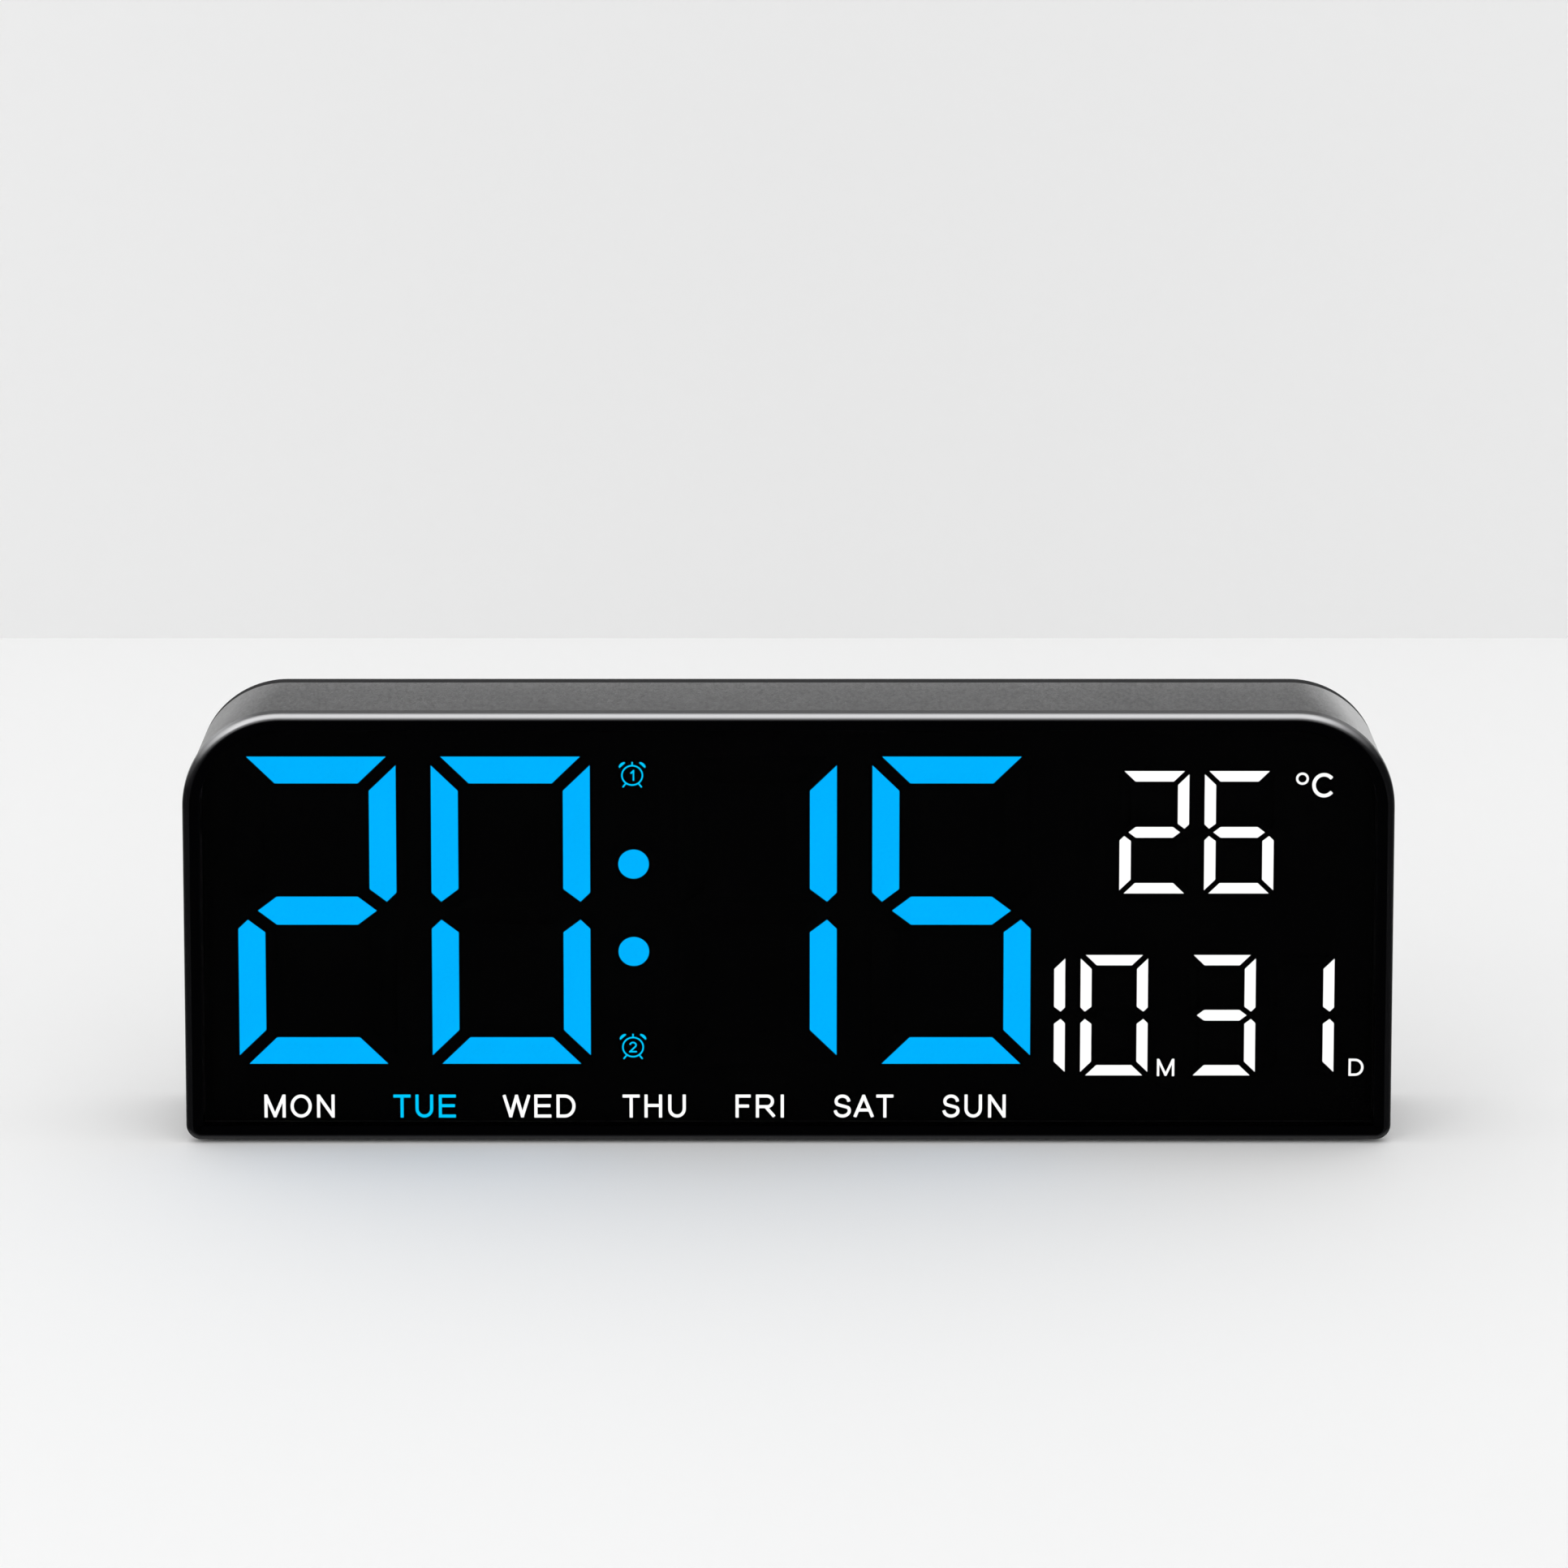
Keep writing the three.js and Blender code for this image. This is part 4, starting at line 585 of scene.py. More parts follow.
# The lit display: printed windows on the film, one bar for each segment
film = {"y": boxOf("legend_film")[0].y, "print": 0.06}
largeDigit = {"width": 29.5, "height": 60.45, "bar": 5.0, "rung": 5.22, "cross": 5.5, "corner": 1.82,
              "shoulder": 1.7, "tipInset": 1.8, "tipGap": 1.78, "crossInset": 3.7}
smallDigit = {"width": 12.88, "height": 24.0, "bar": 2.1, "rung": 2.04, "cross": 2.1, "corner": 0.85,
              "shoulder": 0.63, "tipInset": 0.85, "tipGap": 0.73, "crossInset": 1.66}
dateDigit = {"width": 12.55, "height": 23.8, "bar": 2.05, "rung": 2.03, "cross": 2.1, "corner": 0.98,
             "shoulder": 0.7, "tipInset": 0.82, "tipGap": 0.74, "crossInset": 1.65}
tipSlope = 0.78
litBars = {"0": "abcdef", "1": "bc", "2": "abged", "3": "abgcd", "5": "afgcd", "6": "afgecd"}
display = {"timeZ": 45.14, "temperatureZ": 60.54, "dateZ": 24.5}
digits = [  # name, kind, x, row, the figure it shows, the bars it has
    ("hour_tens_bars", largeDigit, -87.65, "timeZ", "2", "abcdefg"),
    ("hour_units_bars", largeDigit, -51.63, "timeZ", "0", "abcdefg"),
    ("minute_tens_bars", largeDigit, -5.77, "timeZ", "1", "abcdefg"),
    ("minute_units_bars", largeDigit, 30.33, "timeZ", "5", "abcdefg"),
    ("temperature_tens_bars", smallDigit, 67.95, "temperatureZ", "2", "abcdefg"),
    ("temperature_units_bars", smallDigit, 83.7, "temperatureZ", "6", "abcdefg"),
    ("month_tens_bars", dateDigit, 45.29, "dateZ", "1", "bc"),
    ("month_units_bars", dateDigit, 60.72, "dateZ", "0", "abcdefg"),
    ("day_tens_bars", dateDigit, 80.8, "dateZ", "3", "abcdefg"),
    ("day_units_bars", dateDigit, 95.46, "dateZ", "1", "abcdefg"),
]


def addPanel(x0, x1, z0, z1, cuts):  # a flat bar that faces the front, trimmed by lines (point, outwards)
    middle = ((x0 + x1) / 2 * mm, 0, (z0 + z1) / 2 * mm)
    bpy.ops.mesh.primitive_plane_add(size=mm, location=middle, rotation=(quarterTurn, 0, 0))
    piece = bpy.context.object
    piece.scale = (x1 - x0, z1 - z0, 1)
    bpy.ops.object.transform_apply(location=True, rotation=True, scale=True)
    startEdit(piece)
    for (x, z), (outX, outZ) in cuts:
        bpy.ops.mesh.select_all(action="SELECT")
        bpy.ops.mesh.bisect(
            plane_co=(x * mm, 0, z * mm), plane_no=Vector((outX, 0, outZ)).normalized(),
            clear_outer=True, threshold=1e-7)
    endEdit()
    return piece


def makeDigit(digit):  # half the top bar, one upright and a quarter of the cross bar, then mirrored
    w, h, bar = digit["width"] / 2, digit["height"] / 2, digit["bar"]
    tipX, tipZ = w - digit["tipInset"], digit["tipGap"]
    crossX = w - digit["crossInset"]
    rungX, top = w - digit["corner"], h - digit["shoulder"]
    half = [
        addPanel(0, rungX, h - digit["rung"], h, [((rungX, h), (1, -1))]),
        addPanel(w - bar, w, tipZ, top, [
            ((w, top), (-1, 1)), ((tipX, tipZ), (1, -1)), ((tipX, tipZ), (-tipSlope, -1))]),
        addPanel(0, crossX, 0, digit["cross"] / 2, [((crossX, 0), (tipSlope, 1))]),
    ]
    choose(*half)
    bpy.ops.object.join()
    piece = half[0]
    applyModifier(piece, "MIRROR", use_axis=(True, False, True), merge_threshold=weld)
    startEdit(piece)
    bpy.ops.mesh.dissolve_limited(angle_limit=math.radians(1))
    endEdit()
    return piece


def barLetter(digit, x, z):  # which bar a flat face is, from its middle
    w, h = digit["width"] / 2, digit["height"] / 2
    if abs(x) < w / 3:
        return "g" if abs(z) < h / 2 else ("a" if z > 0 else "d")
    return ("b" if z > 0 else "c") if x > 0 else ("f" if z > 0 else "e")


def makeDigits():
    models = {id(digit): makeDigit(digit) for digit in (largeDigit, smallDigit, dateDigit)}
    for name, digit, x, row, figure, bars in digits:
        piece = copyOf(models[id(digit)])
        colour = litBlue if digit is largeDigit else litWhite
        startEdit(piece)
        if bars != "abcdefg":
            pick(piece, "FACE", lambda at, way: barLetter(digit, at.x, at.z) not in bars)
            bpy.ops.mesh.delete(type="FACE")
        endEdit()
        finishPiece(piece, name, "clock", [colour, unlitWindow])
        paintFaces(piece, 1, lambda at, way: barLetter(digit, at.x, at.z) not in litBars[figure])
        setPlace(piece, at=(x, film["y"] - film["print"], display[row]))
        applyModifier(piece, "SOLIDIFY", thickness=film["print"] * mm, offset=-1)
    for model in models.values():
        bpy.data.objects.remove(model)


makeDigits()
print("digits made")

# Dots, alarm signs and printed words, all drawn as flat strokes of even width


def bow(x, z, wide, high, start, end, steps):  # points along an oval, angles in degrees
    turns = [math.radians(start + (end - start) * step / steps) for step in range(steps + 1)]
    return [(x + wide * math.cos(turn), z + high * math.sin(turn)) for turn in turns]


# Each letter: its width and the room at its sides as shares of its height, then its lines in a unit box
letterForms = {
    "A": (0.81, 0.035, [[(0, 0), (0.5, 1)], [(1, 0), (0.5, 1)], [(0.18, 0.3), (0.82, 0.3)]]),
    "C": (0.83, 0.09, [bow(0.56, 0.5, 0.56, 0.5, 44, 316, 22)]),
    "D": (0.765, 0.11, [[(0, 0), (0, 1)] + bow(0.42, 0.5, 0.58, 0.5, 90, -90, 16) + [(0, 0)]]),
    "E": (0.685, 0.1, [[(1, 1), (0, 1), (0, 0), (1, 0)], [(0, 0.52), (0.93, 0.52)]]),
    "F": (0.61, 0.11, [[(1, 1), (0, 1), (0, 0)], [(0, 0.5), (0.86, 0.5)]]),
    "H": (0.71, 0.125, [[(0, 0), (0, 1)], [(1, 0), (1, 1)], [(0, 0.53), (1, 0.53)]]),
    "I": (0.16, 0.1, [[(0.5, 0), (0.5, 1)]]),
    "M": (0.86, 0.11, [[(0, 0), (0, 1)], [(1, 0), (1, 1)], [(0.02, 1), (0.5, 0)], [(0.98, 1), (0.5, 0)]]),
    "N": (0.715, 0.125, [[(0, 0), (0, 1)], [(1, 0), (1, 1)], [(0.02, 1), (0.98, 0)]]),
    "O": (0.86, 0.09, [bow(0.5, 0.5, 0.5, 0.5, 90, 450, 28)]),
    "P": (0.72, 0.1, [[(0, 0), (0, 1)] + bow(0.6, 0.72, 0.4, 0.28, 90, -90, 10) + [(0, 0.44)]]),
    "R": (0.785, 0.1, [[(0, 0), (0, 1)] + bow(0.6, 0.735, 0.32, 0.265, 90, -90, 10) + [(0, 0.47)],
                       [(0.5, 0.47), (1, 0)]]),
    "S": (0.69, 0.075, [bow(0.5, 0.74, 0.45, 0.26, 8, 215, 14) + [(0.3, 0.545), (0.7, 0.47)]
                        + bow(0.5, 0.27, 0.5, 0.27, 35, -172, 14)]),
    "T": (0.69, 0.07, [[(0, 1), (1, 1)], [(0.5, 1), (0.5, 0)]]),
    "U": (0.71, 0.125, [[(0, 1)] + bow(0.5, 0.36, 0.5, 0.36, 180, 360, 14) + [(1, 1)]]),
    "W": (1.105, 0.065, [[(0, 1), (0.26, 0)], [(0.5, 1), (0.26, 0)], [(0.5, 1), (0.74, 0)],
                         [(1, 1), (0.74, 0)]]),
    "1": (0.36, 0.1, [[(1, 0), (1, 1)], [(0.9, 0.95), (0, 0.72)]]),
    "2": (0.68, 0.1, [bow(0.5, 0.72, 0.48, 0.28, 165, -35, 12) + [(0, 0)], [(0, 0), (1, 0)]]),
}


def wordLines(word, x, z, high, stroke, wide=None):  # x and z are its middle; high is a letter's height
    forms = [letterForms[letter] for letter in word]
    whole = sum(form[0] + 2 * form[1] for form in forms) - forms[0][1] - forms[-1][1]
    across = wide / whole if wide else high
    left, low = x - (whole / 2 + forms[0][1]) * across, z - (high - stroke) / 2
    lines = []
    for share, side, letterLines in forms:
        start, reach = left + side * across + stroke / 2, share * across - stroke
        for line in letterLines:
            lines.append([(start + u * reach, low + v * (high - stroke)) for u, v in line])
        left += (share + 2 * side) * across
    return lines


def drawOut(line, reach):  # lengthens both ends of a line; a slanting end goes less far
    ends = []
    for (x, z), (nearX, nearZ) in ((line[0], line[1]), (line[-1], line[-2])):
        long = math.hypot(x - nearX, z - nearZ)
        wayX, wayZ = (x - nearX) / long, (z - nearZ) / long
        step = reach * (1 - min(abs(wayX), abs(wayZ))) / max(abs(wayX), abs(wayZ))
        ends.append((x + wayX * step, z + wayZ * step))
    return [ends[0], *line[1:-1], ends[1]]


def addStrokes(lines, stroke, thick=film["print"]):  # stands behind y 0
    piece = startDrawing()
    for line in lines:
        closed = math.dist(line[0], line[-1]) < 0.001
        drawLine(line if closed else drawOut(line, stroke / 2))
    bpy.ops.mesh.select_all(action="SELECT")
    bpy.ops.mesh.remove_doubles(threshold=weld)
    bpy.ops.mesh.extrude_region_move(TRANSFORM_OT_translate={"value": (0, thick * mm, 0)})
    endEdit()
    applyModifier(piece, "SOLIDIFY", thickness=stroke * mm, offset=0, use_even_offset=True)
    return piece


def addDot(x, z):  # a round window with a soft front rim, which stands behind y 0
    radius, rim, thick = colon["radius"], colon["rim"], film["print"]
    profile = [(0, 0), (radius, 0), (radius, thick - rim), (radius - rim, thick), (0, thick)]
    return setPlace(addTurned(profile, colon["steps"]), (quarterTurn, 0, 0), (x, thick, z))


def finishPrint(parts, name, material):  # joins the parts and puts them on the film
    choose(*parts)
    if len(parts) > 1:
        bpy.ops.object.join()
    piece = setPlace(parts[0], at=(0, film["y"] - film["print"], 0))
    finishPiece(piece, name, "clock", [material])


colon = {"x": -28.79, "heights": (54.3, 37.1), "radius": 2.85, "rim": 0.02, "steps": 64}
alarm = {"x": -29.0, "heights": (71.71, 18.2), "radius": 1.9, "line": 0.28, "figure": 2.1, "lean": 43,
         "legStart": (1.15, -1.55), "legEnd": (1.72, -2.28), "stem": (1.9, 2.48),
         "bell": ([(-0.66, 2.78), (0.66, 2.78)],
                  [(-0.5, 2.87), (-0.27, 2.97), (0, 3), (0.27, 2.97), (0.5, 2.87)])}


def makeAlarm(name, figure, z):  # a plain bell clock: ring, two bells, two legs, a stem and a figure
    x = alarm["x"]
    lines = [bow(x, z, alarm["radius"], alarm["radius"], 0, 360, 40),
             [(x, z + alarm["stem"][0]), (x, z + alarm["stem"][1])]]
    for side in (-1, 1):
        lines.append([(x + side * u, z + v) for u, v in (alarm["legStart"], alarm["legEnd"])])
        turn = -side * math.radians(alarm["lean"])
        for line in alarm["bell"]:
            lines.append([(x + u * math.cos(turn) - v * math.sin(turn),
                           z + u * math.sin(turn) + v * math.cos(turn)) for u, v in line])
    lines += wordLines(figure, x, z, alarm["figure"], alarm["line"])
    finishPrint([addStrokes(lines, alarm["line"])], name, litCyan)


finishPrint([addDot(colon["x"], z) for z in colon["heights"]], "colon_dots", litBlue)
for index, z in enumerate(alarm["heights"]):
    makeAlarm(f"alarm_sign_{index + 1}", str(index + 1), z)

capitals = {"row": 6.5, "high": 4.54, "stroke": 0.58}
weekdays = [  # word, x of its middle, width
    ("MON", -91.36, 13.12), ("TUE", -67.98, 11.66), ("WED", -46.58, 13.58), ("THU", -25.08, 11.8),
    ("FRI", -5.33, 9.1), ("SAT", 14.05, 11.12), ("SUN", 34.7, 11.78)]
for word, x, wide in weekdays:
    lines = wordLines(word, x, capitals["row"], capitals["high"], capitals["stroke"], wide)
    finishPrint([addStrokes(lines, capitals["stroke"])], "day_" + word.lower(),
                litCyan if word == "TUE" else litWhite)

labelStroke = 0.44
labels = [  # letter, name, x and z of its middle, height, width
    ("M", "month_letter", 70.42, 14.17, 3.4, 3.24), ("D", "day_letter", 105.97, 14.2, 3.38, 2.8)]
for letter, name, x, z, high, wide in labels:
    lines = wordLines(letter, x, z, high, labelStroke, wide)
    finishPrint([addStrokes(lines, labelStroke)], name, litWhite)

celsius = {"ring": (95.36, 71.06), "ringRadius": 0.98, "ringStroke": 0.42, "letter": (99.18, 69.78),
           "high": 4.78, "wide": 4.0, "stroke": 0.66}
ringLine = bow(*celsius["ring"], celsius["ringRadius"], celsius["ringRadius"], 0, 360, 40)
letterLines = wordLines("C", *celsius["letter"], celsius["high"], celsius["stroke"], celsius["wide"])
finishPrint(
    [addStrokes([ringLine], celsius["ringStroke"]), addStrokes(letterLines, celsius["stroke"])],
    "celsius_sign", litWhite)
print("signs and words made")

# The case: a drafted shell with a small radius at the back, screw bosses, a notch and pad sockets
case = {"sideDraft": 1.96, "draft": 1.458, "collar": 0.2, "topRadius": 16.85, "bottomRadius": 3.0,
        "cornerSteps": 28, "rearRadius": 0.85, "rearSteps": 6, "rearBandY": 10.6,
        "wall": 2.2, "innerDraft": 1.33, "innerRadius": 14.2, "rearOpening": 4, "coverThickness": 2.2,
        "bossRadius": 3.3, "bossFrontY": -3.4, "holeRadius": 1.5, "holeDepth": 10,
        "ribReach": 9, "ribWidth": 2, "notch": (20.25, 4.05), "padRadius": 4.3}
past = 1  # how far a cutting tool runs out past what it cuts
sliver = 0.01  # keeps two faces from lying in one plane
coverY = boxOf("back_cover")[1].y - case["coverThickness"]
screwPlaces = [sum(boxOf(f"cover_screw_{index + 1}"), Vector()) / 2 for index in range(6)]


def addDrafted(low, high, topRadius, bottomRadius, sideDraft, draft, frontY, backY):
    # straight to frontY, then drawn in evenly to backY, with the bottom kept level
    piece = addPlate(low, (high[0], frontY, high[2]), topRadius, bottomRadius, case["cornerSteps"])
    shrink = (1 - sideDraft / high[0], 1, 1 - draft / (high[2] - low[2]))
    startEdit(piece)
    pick(piece, "FACE", lambda at, way: way.y > 0.99)
    bpy.ops.mesh.extrude_region_move(TRANSFORM_OT_translate={"value": (0, (backY - frontY) * mm, 0)})
    bpy.ops.transform.resize(value=shrink, center_override=(0, 0, low[2] * mm))
    endEdit()
    return piece


def addBoss(at):  # a screw boss with ribs that run out to the walls
    frontY, half, reach = case["bossFrontY"], case["ribWidth"] / 2, case["ribReach"]
    out = reach if at.z > 40 else -reach  # up from the upper bosses, down from the lower ones
    parts = [addRod(case["bossRadius"], (at.x, frontY, at.z), (at.x, coverY, at.z), 40)]
    upright = sorted((at.z, at.z + out))
    parts.append(addBlock((at.x - half, frontY, upright[0]), (at.x + half, coverY - sliver, upright[1])))
    if abs(at.x) > 90:  # a corner boss also has a rib to the side wall
        level = sorted((at.x, at.x + math.copysign(reach, at.x)))
        parts.append(addBlock((level[0], frontY, at.z - half), (level[1], coverY - sliver, at.z + half)))
    return parts


def makeCase():
    low, high = boxOf("housing")
    shell = addDrafted(
        low, high, case["topRadius"], case["bottomRadius"], case["sideDraft"], case["draft"],
        low.y + case["collar"], high.y)
    startEdit(shell)
    bpy.ops.mesh.bisect(plane_co=(0, case["rearBandY"] * mm, 0), plane_no=(0, 1, 0))
    roundRim(shell, case["rearRadius"], case["rearSteps"], lambda at, way: way.y > 0.99)
    endEdit()
    wall = case["wall"]
    inside = addDrafted(
        (low.x + wall, low.y - past, low.z + wall), (high.x - wall, 0, high.z - wall),
        case["innerRadius"], 0, case["innerDraft"], case["innerDraft"], low.y, coverY)
    startEdit(inside)
    pick(inside, "FACE", lambda at, way: way.y > 0.99)
    bpy.ops.mesh.extrude_region_move(TRANSFORM_OT_translate={"value": (0, case["rearOpening"] * mm, 0)})
    endEdit()
    combine(inside, [part for at in screwPlaces for part in addBoss(at)], "DIFFERENCE")
    notchX, notchY = case["notch"]
    tools = [inside, addBlock(
        (-notchX, notchY, low.z - past), (notchX, high.y + past, low.z + wall + past))]
    for at in screwPlaces:
        tools.append(addRod(
            case["holeRadius"], (at.x, coverY - case["holeDepth"], at.z), (at.x, coverY + past, at.z), 32))
    for index in range(4):
        padLow, padHigh = boxOf(f"rubber_foot_{index + 1}")
        x, y = (padLow.x + padHigh.x) / 2, (padLow.y + padHigh.y) / 2
        tools.append(addRod(case["padRadius"], (x, y, -past), (x, y, padHigh.z)))
    combine(shell, tools, "DIFFERENCE")
    finishPiece(shell, "case_shell", "clock", [casePlasticPaintedSheen, paintedShadeBand], ["housing"])
    # painted shade: the darker band with almost no gloss goes on the slanting outer faces behind the
    # bisected line
    paintFaces(shell, 1, lambda at, way: at.y > case["rearBandY"] and 0.02 < way.y < 0.95)


makeCase()
print("case made")

# The cover keeps its CAD form, with every round opening bored again in finer steps
cover = {"keyholeX": 75, "keyholeZ": 64, "entryRadius": 4.27, "slotRadius": 2.12, "slotRise": 7,
         "buttonX": (46, 59, 72, 85), "buttonZ": 49, "buttonHole": 3.82, "panelRadius": 6.52,
         "panelY": 13.2, "grilleX": 84, "grilleZ": 27, "grillePitch": 3.2, "grilleHole": 0.92, "ventX": 66,
         "ventZ": (12.5, 15.5, 18.5, 21.5), "ventLength": 9.04, "ventWidth": 1.44, "socketX": 50,
         "socketZ": 20, "socketSize": (10.18, 4.5), "seatRadius": 2.92, "seatY": 12.8, "screwHole": 1.52}


def makeCover():
    piece = mergedCopy("back_cover")
    inner, outer = coverY - past, boxOf("back_cover")[1].y + past
    bores = []  # x, z, radius, where it starts, steps round it
    for x in (-cover["keyholeX"], cover["keyholeX"]):
        bores.append((x, cover["keyholeZ"], cover["entryRadius"], inner, 64))
        bores.append((x, cover["keyholeZ"] + cover["slotRise"], cover["slotRadius"], inner, 40))
    for x in cover["buttonX"]:
        bores.append((x, cover["buttonZ"], cover["buttonHole"], inner, 64))
    for x in (cover["buttonX"][0], cover["buttonX"][-1]):
        bores.append((x, cover["buttonZ"], cover["panelRadius"], cover["panelY"], 80))
    for index in range(7):  # six holes round a middle one
        angle = index * math.pi / 3
        reach = cover["grillePitch"] if index < 6 else 0
        x, z = cover["grilleX"] + reach * math.cos(angle), cover["grilleZ"] + reach * math.sin(angle)
        bores.append((x, z, cover["grilleHole"], inner, 24))
    for at in screwPlaces:
        bores.append((at.x, at.z, cover["screwHole"], inner, 32))
        bores.append((at.x, at.z, cover["seatRadius"], cover["seatY"], 48))
    for x, z, radius, startY, steps in bores:
        combine(piece, [addRod(radius, (x, startY, z), (x, outer, z), steps)], "DIFFERENCE")
    slots = [(cover["ventX"], z, cover["ventLength"], cover["ventWidth"]) for z in cover["ventZ"]]
    slots.append((cover["socketX"], cover["socketZ"], *cover["socketSize"]))
    for x, z, wide, high in slots:
        radius = (high - sliver) / 2
        corners = (x - wide / 2, inner, z - high / 2), (x + wide / 2, outer, z + high / 2)
        combine(piece, [addPlate(*corners, radius, radius, 10)], "DIFFERENCE")
    startEdit(piece)
    bpy.ops.mesh.remove_doubles(threshold=0.03 * mm)
    bpy.ops.mesh.dissolve_limited(angle_limit=math.radians(0.5))
    endEdit()
    finishPiece(piece, "rear_cover", "clock", [coverPlastic], ["back_cover"])


makeCover()
print("cover made")

# Button names printed on the recessed panel, under the buttons
names = {"z": 44.25, "high": 1.5, "stroke": 0.24, "relief": 0.1, "sunk": 0.05}
for x, word in zip(cover["buttonX"], ("MODE", "SET", "UP", "DOWN")):
    lines = wordLines(word, 0, 0, names["high"], names["stroke"])
    piece = addStrokes(lines, names["stroke"], names["relief"] + names["sunk"])
    setPlace(piece, (0, 0, math.pi), (x, cover["panelY"] + names["relief"], names["z"]))
    finishPiece(piece, "name_" + word.lower(), "clock", [greyPrint])
print("button names made")

# The door of the battery bay, with a fine rounding on its outside edges
doorEdge = 0.2
cellDoor = mergedCopy("battery_door")
startEdit(cellDoor)
roundEdges(cellDoor, doorEdge, 2, lambda at, way: at.y > boxOf("battery_door")[1].y - sliver)
endEdit()
finishPiece(cellDoor, "cell_door", "battery_door", [coverPlastic], ["battery_door"])

# The fold-out foot: plate, hinge barrel, heel and grip grooves
foot = {"half": 18, "plateY": 11, "backY": 14, "bottomZ": 4.5, "topZ": 43.5, "corner": 3, "edge": 0.35,
        "barrel": 3, "barrelY": 9.5, "bore": 1.05, "heelInset": 1.5,
        "groove": (9, 0.5, 0.5), "grooveRadius": 0.45, "grooveZ": (38.7, 36.3, 33.9, 31.5)}
pinProfile = [(0, 0), (0.8, 0), (1, 0.25), (1, 38.75), (0.8, 39), (0, 39)]


def makeFoot():
    half, z, backY, radius = foot["half"], foot["bottomZ"], foot["backY"], foot["barrel"]
    piece = addPlate((-half, foot["plateY"], z), (half, backY, foot["topZ"]), foot["corner"], 0, 12)
    startEdit(piece)
    roundEdges(piece, foot["edge"], 3, lambda at, way: at.y > backY - sliver and at.z > z + 1)
    endEdit()
    parts = [
        addRod(radius, (-half, foot["barrelY"], z), (half, foot["barrelY"], z), 64),
        addRod(radius, (-half, backY - radius, z), (half, backY - radius, z), 64),
        addBlock((-half, foot["barrelY"], z - radius / 2), (half, backY - foot["heelInset"], z + radius)),
    ]
    combine(piece, parts, "UNION")
    end = half + past
    tools = [addRod(foot["bore"], (-end, foot["barrelY"], z), (end, foot["barrelY"], z), 32)]
    halfWide, halfHigh, deep = foot["groove"]
    for grooveZ in foot["grooveZ"]:
        low = (-halfWide, backY - deep, grooveZ - halfHigh)
        high = (halfWide, backY + past, grooveZ + halfHigh)
        tools.append(addPlate(low, high, foot["grooveRadius"], foot["grooveRadius"], 8))
    combine(piece, tools, "DIFFERENCE")
    finishPiece(piece, "stand_foot", "foot", [coverPlastic], ["fold_out_foot"])


makeFoot()
pin = addTurned(pinProfile, 40)
pinLength = pinProfile[-1][1]
setPlace(pin, (0, quarterTurn, 0), (-pinLength / 2, foot["barrelY"], foot["bottomZ"]))
finishPiece(pin, "hinge_pin", "clock", [darkZinc], ["foot_pin"])
print("door and foot made")

# Screws: a pan head with a cross recess and ridges for the thread
coverScrew = {"head": 2.5, "headHigh": 1.1, "core": 1.0, "thread": 1.35, "length": 9, "pitch": 0.9}
boardScrew = {"head": 2.0, "headHigh": 1.0, "core": 0.75, "thread": 1.0, "length": 6, "pitch": 0.7}


def addScrew(screw):  # stands on its tip, with the head's underside at height 0
    core, thread, pitch, length = screw["core"], screw["thread"], screw["pitch"], screw["length"]
    profile = [(0, -length), (core * 0.4, -length), (core, -length + core)]
    height = -length + core + 0.1
    while height + pitch < -0.5:
        profile += [(core, height), (thread, height + pitch * 0.4), (thread, height + pitch * 0.5)]
        height += pitch
    head, high = screw["head"], screw["headHigh"]
    profile += [(core, height), (core, 0), (head * 0.97, 0), (head, high * 0.12), (head, high * 0.5),
                (head * 0.93, high * 0.78), (head * 0.75, high * 0.94), (head * 0.5, high), (0, high)]
    piece = addTurned(profile, 40)
    long, thin, deep = head * 0.62, head * 0.12, high * 0.6
    recess = [addBlock((-long, -thin, high - deep), (long, thin, high + past)),
              addBlock((-thin, -long, high - deep), (thin, long, high + past))]
    return combine(piece, recess, "DIFFERENCE")


def makeScrews():
    model = addScrew(coverScrew)
    for index, at in enumerate(screwPlaces):
        headY = boxOf(f"cover_screw_{index + 1}")[1].y - coverScrew["headHigh"]
        piece = setPlace(copyOf(model), (-quarterTurn, 0.3 + index, 0), (at.x, headY, at.z))
        finishPiece(
            piece, f"case_screw_{index + 1}", "clock", [darkZinc], [f"cover_screw_{index + 1}"])
    bpy.data.objects.remove(model)
    model = addScrew(boardScrew)
    for index in range(2):
        low, high = boxOf(f"board_screw_{index + 1}")
        middle = (low + high) / 2
        piece = setPlace(
            copyOf(model), (quarterTurn, 0.7 * index, 0),
            (middle.x, low.y + boardScrew["headHigh"], middle.z))
        finishPiece(
            piece, f"inner_screw_{index + 1}", "clock", [nickel], [f"board_screw_{index + 1}"])
    bpy.data.objects.remove(model)


makeScrews()
print("screws made")

# Push buttons, rubber feet and the sounder, all turned
buttonProfile = [(0, 0), (1.4, 0), (1.4, 0.4), (4.5, 0.4), (4.6, 0.5), (4.6, 1.3), (4.5, 1.4), (3.5, 1.4),
                 (3.5, 3.4), (3.46, 3.56), (3.36, 3.66), (3.2, 3.7), (3.0, 3.68), (2.6, 3.58), (1.9, 3.48),
                 (1.0, 3.43), (0, 3.42)]
footProfile = [(0, 0), (3.3, 0), (3.6, 0.06), (3.8, 0.2), (3.9, 0.45), (3.9, 1.9), (0, 1.9)]
sounderProfile = [(0, 0), (5.9, 0), (6, 0.1), (6, 5.1), (5.9, 5.45), (5.7, 5.7), (5.4, 5.8), (1.1, 5.8),
                  (1, 5.7), (1, 4.6), (0, 4.6)]


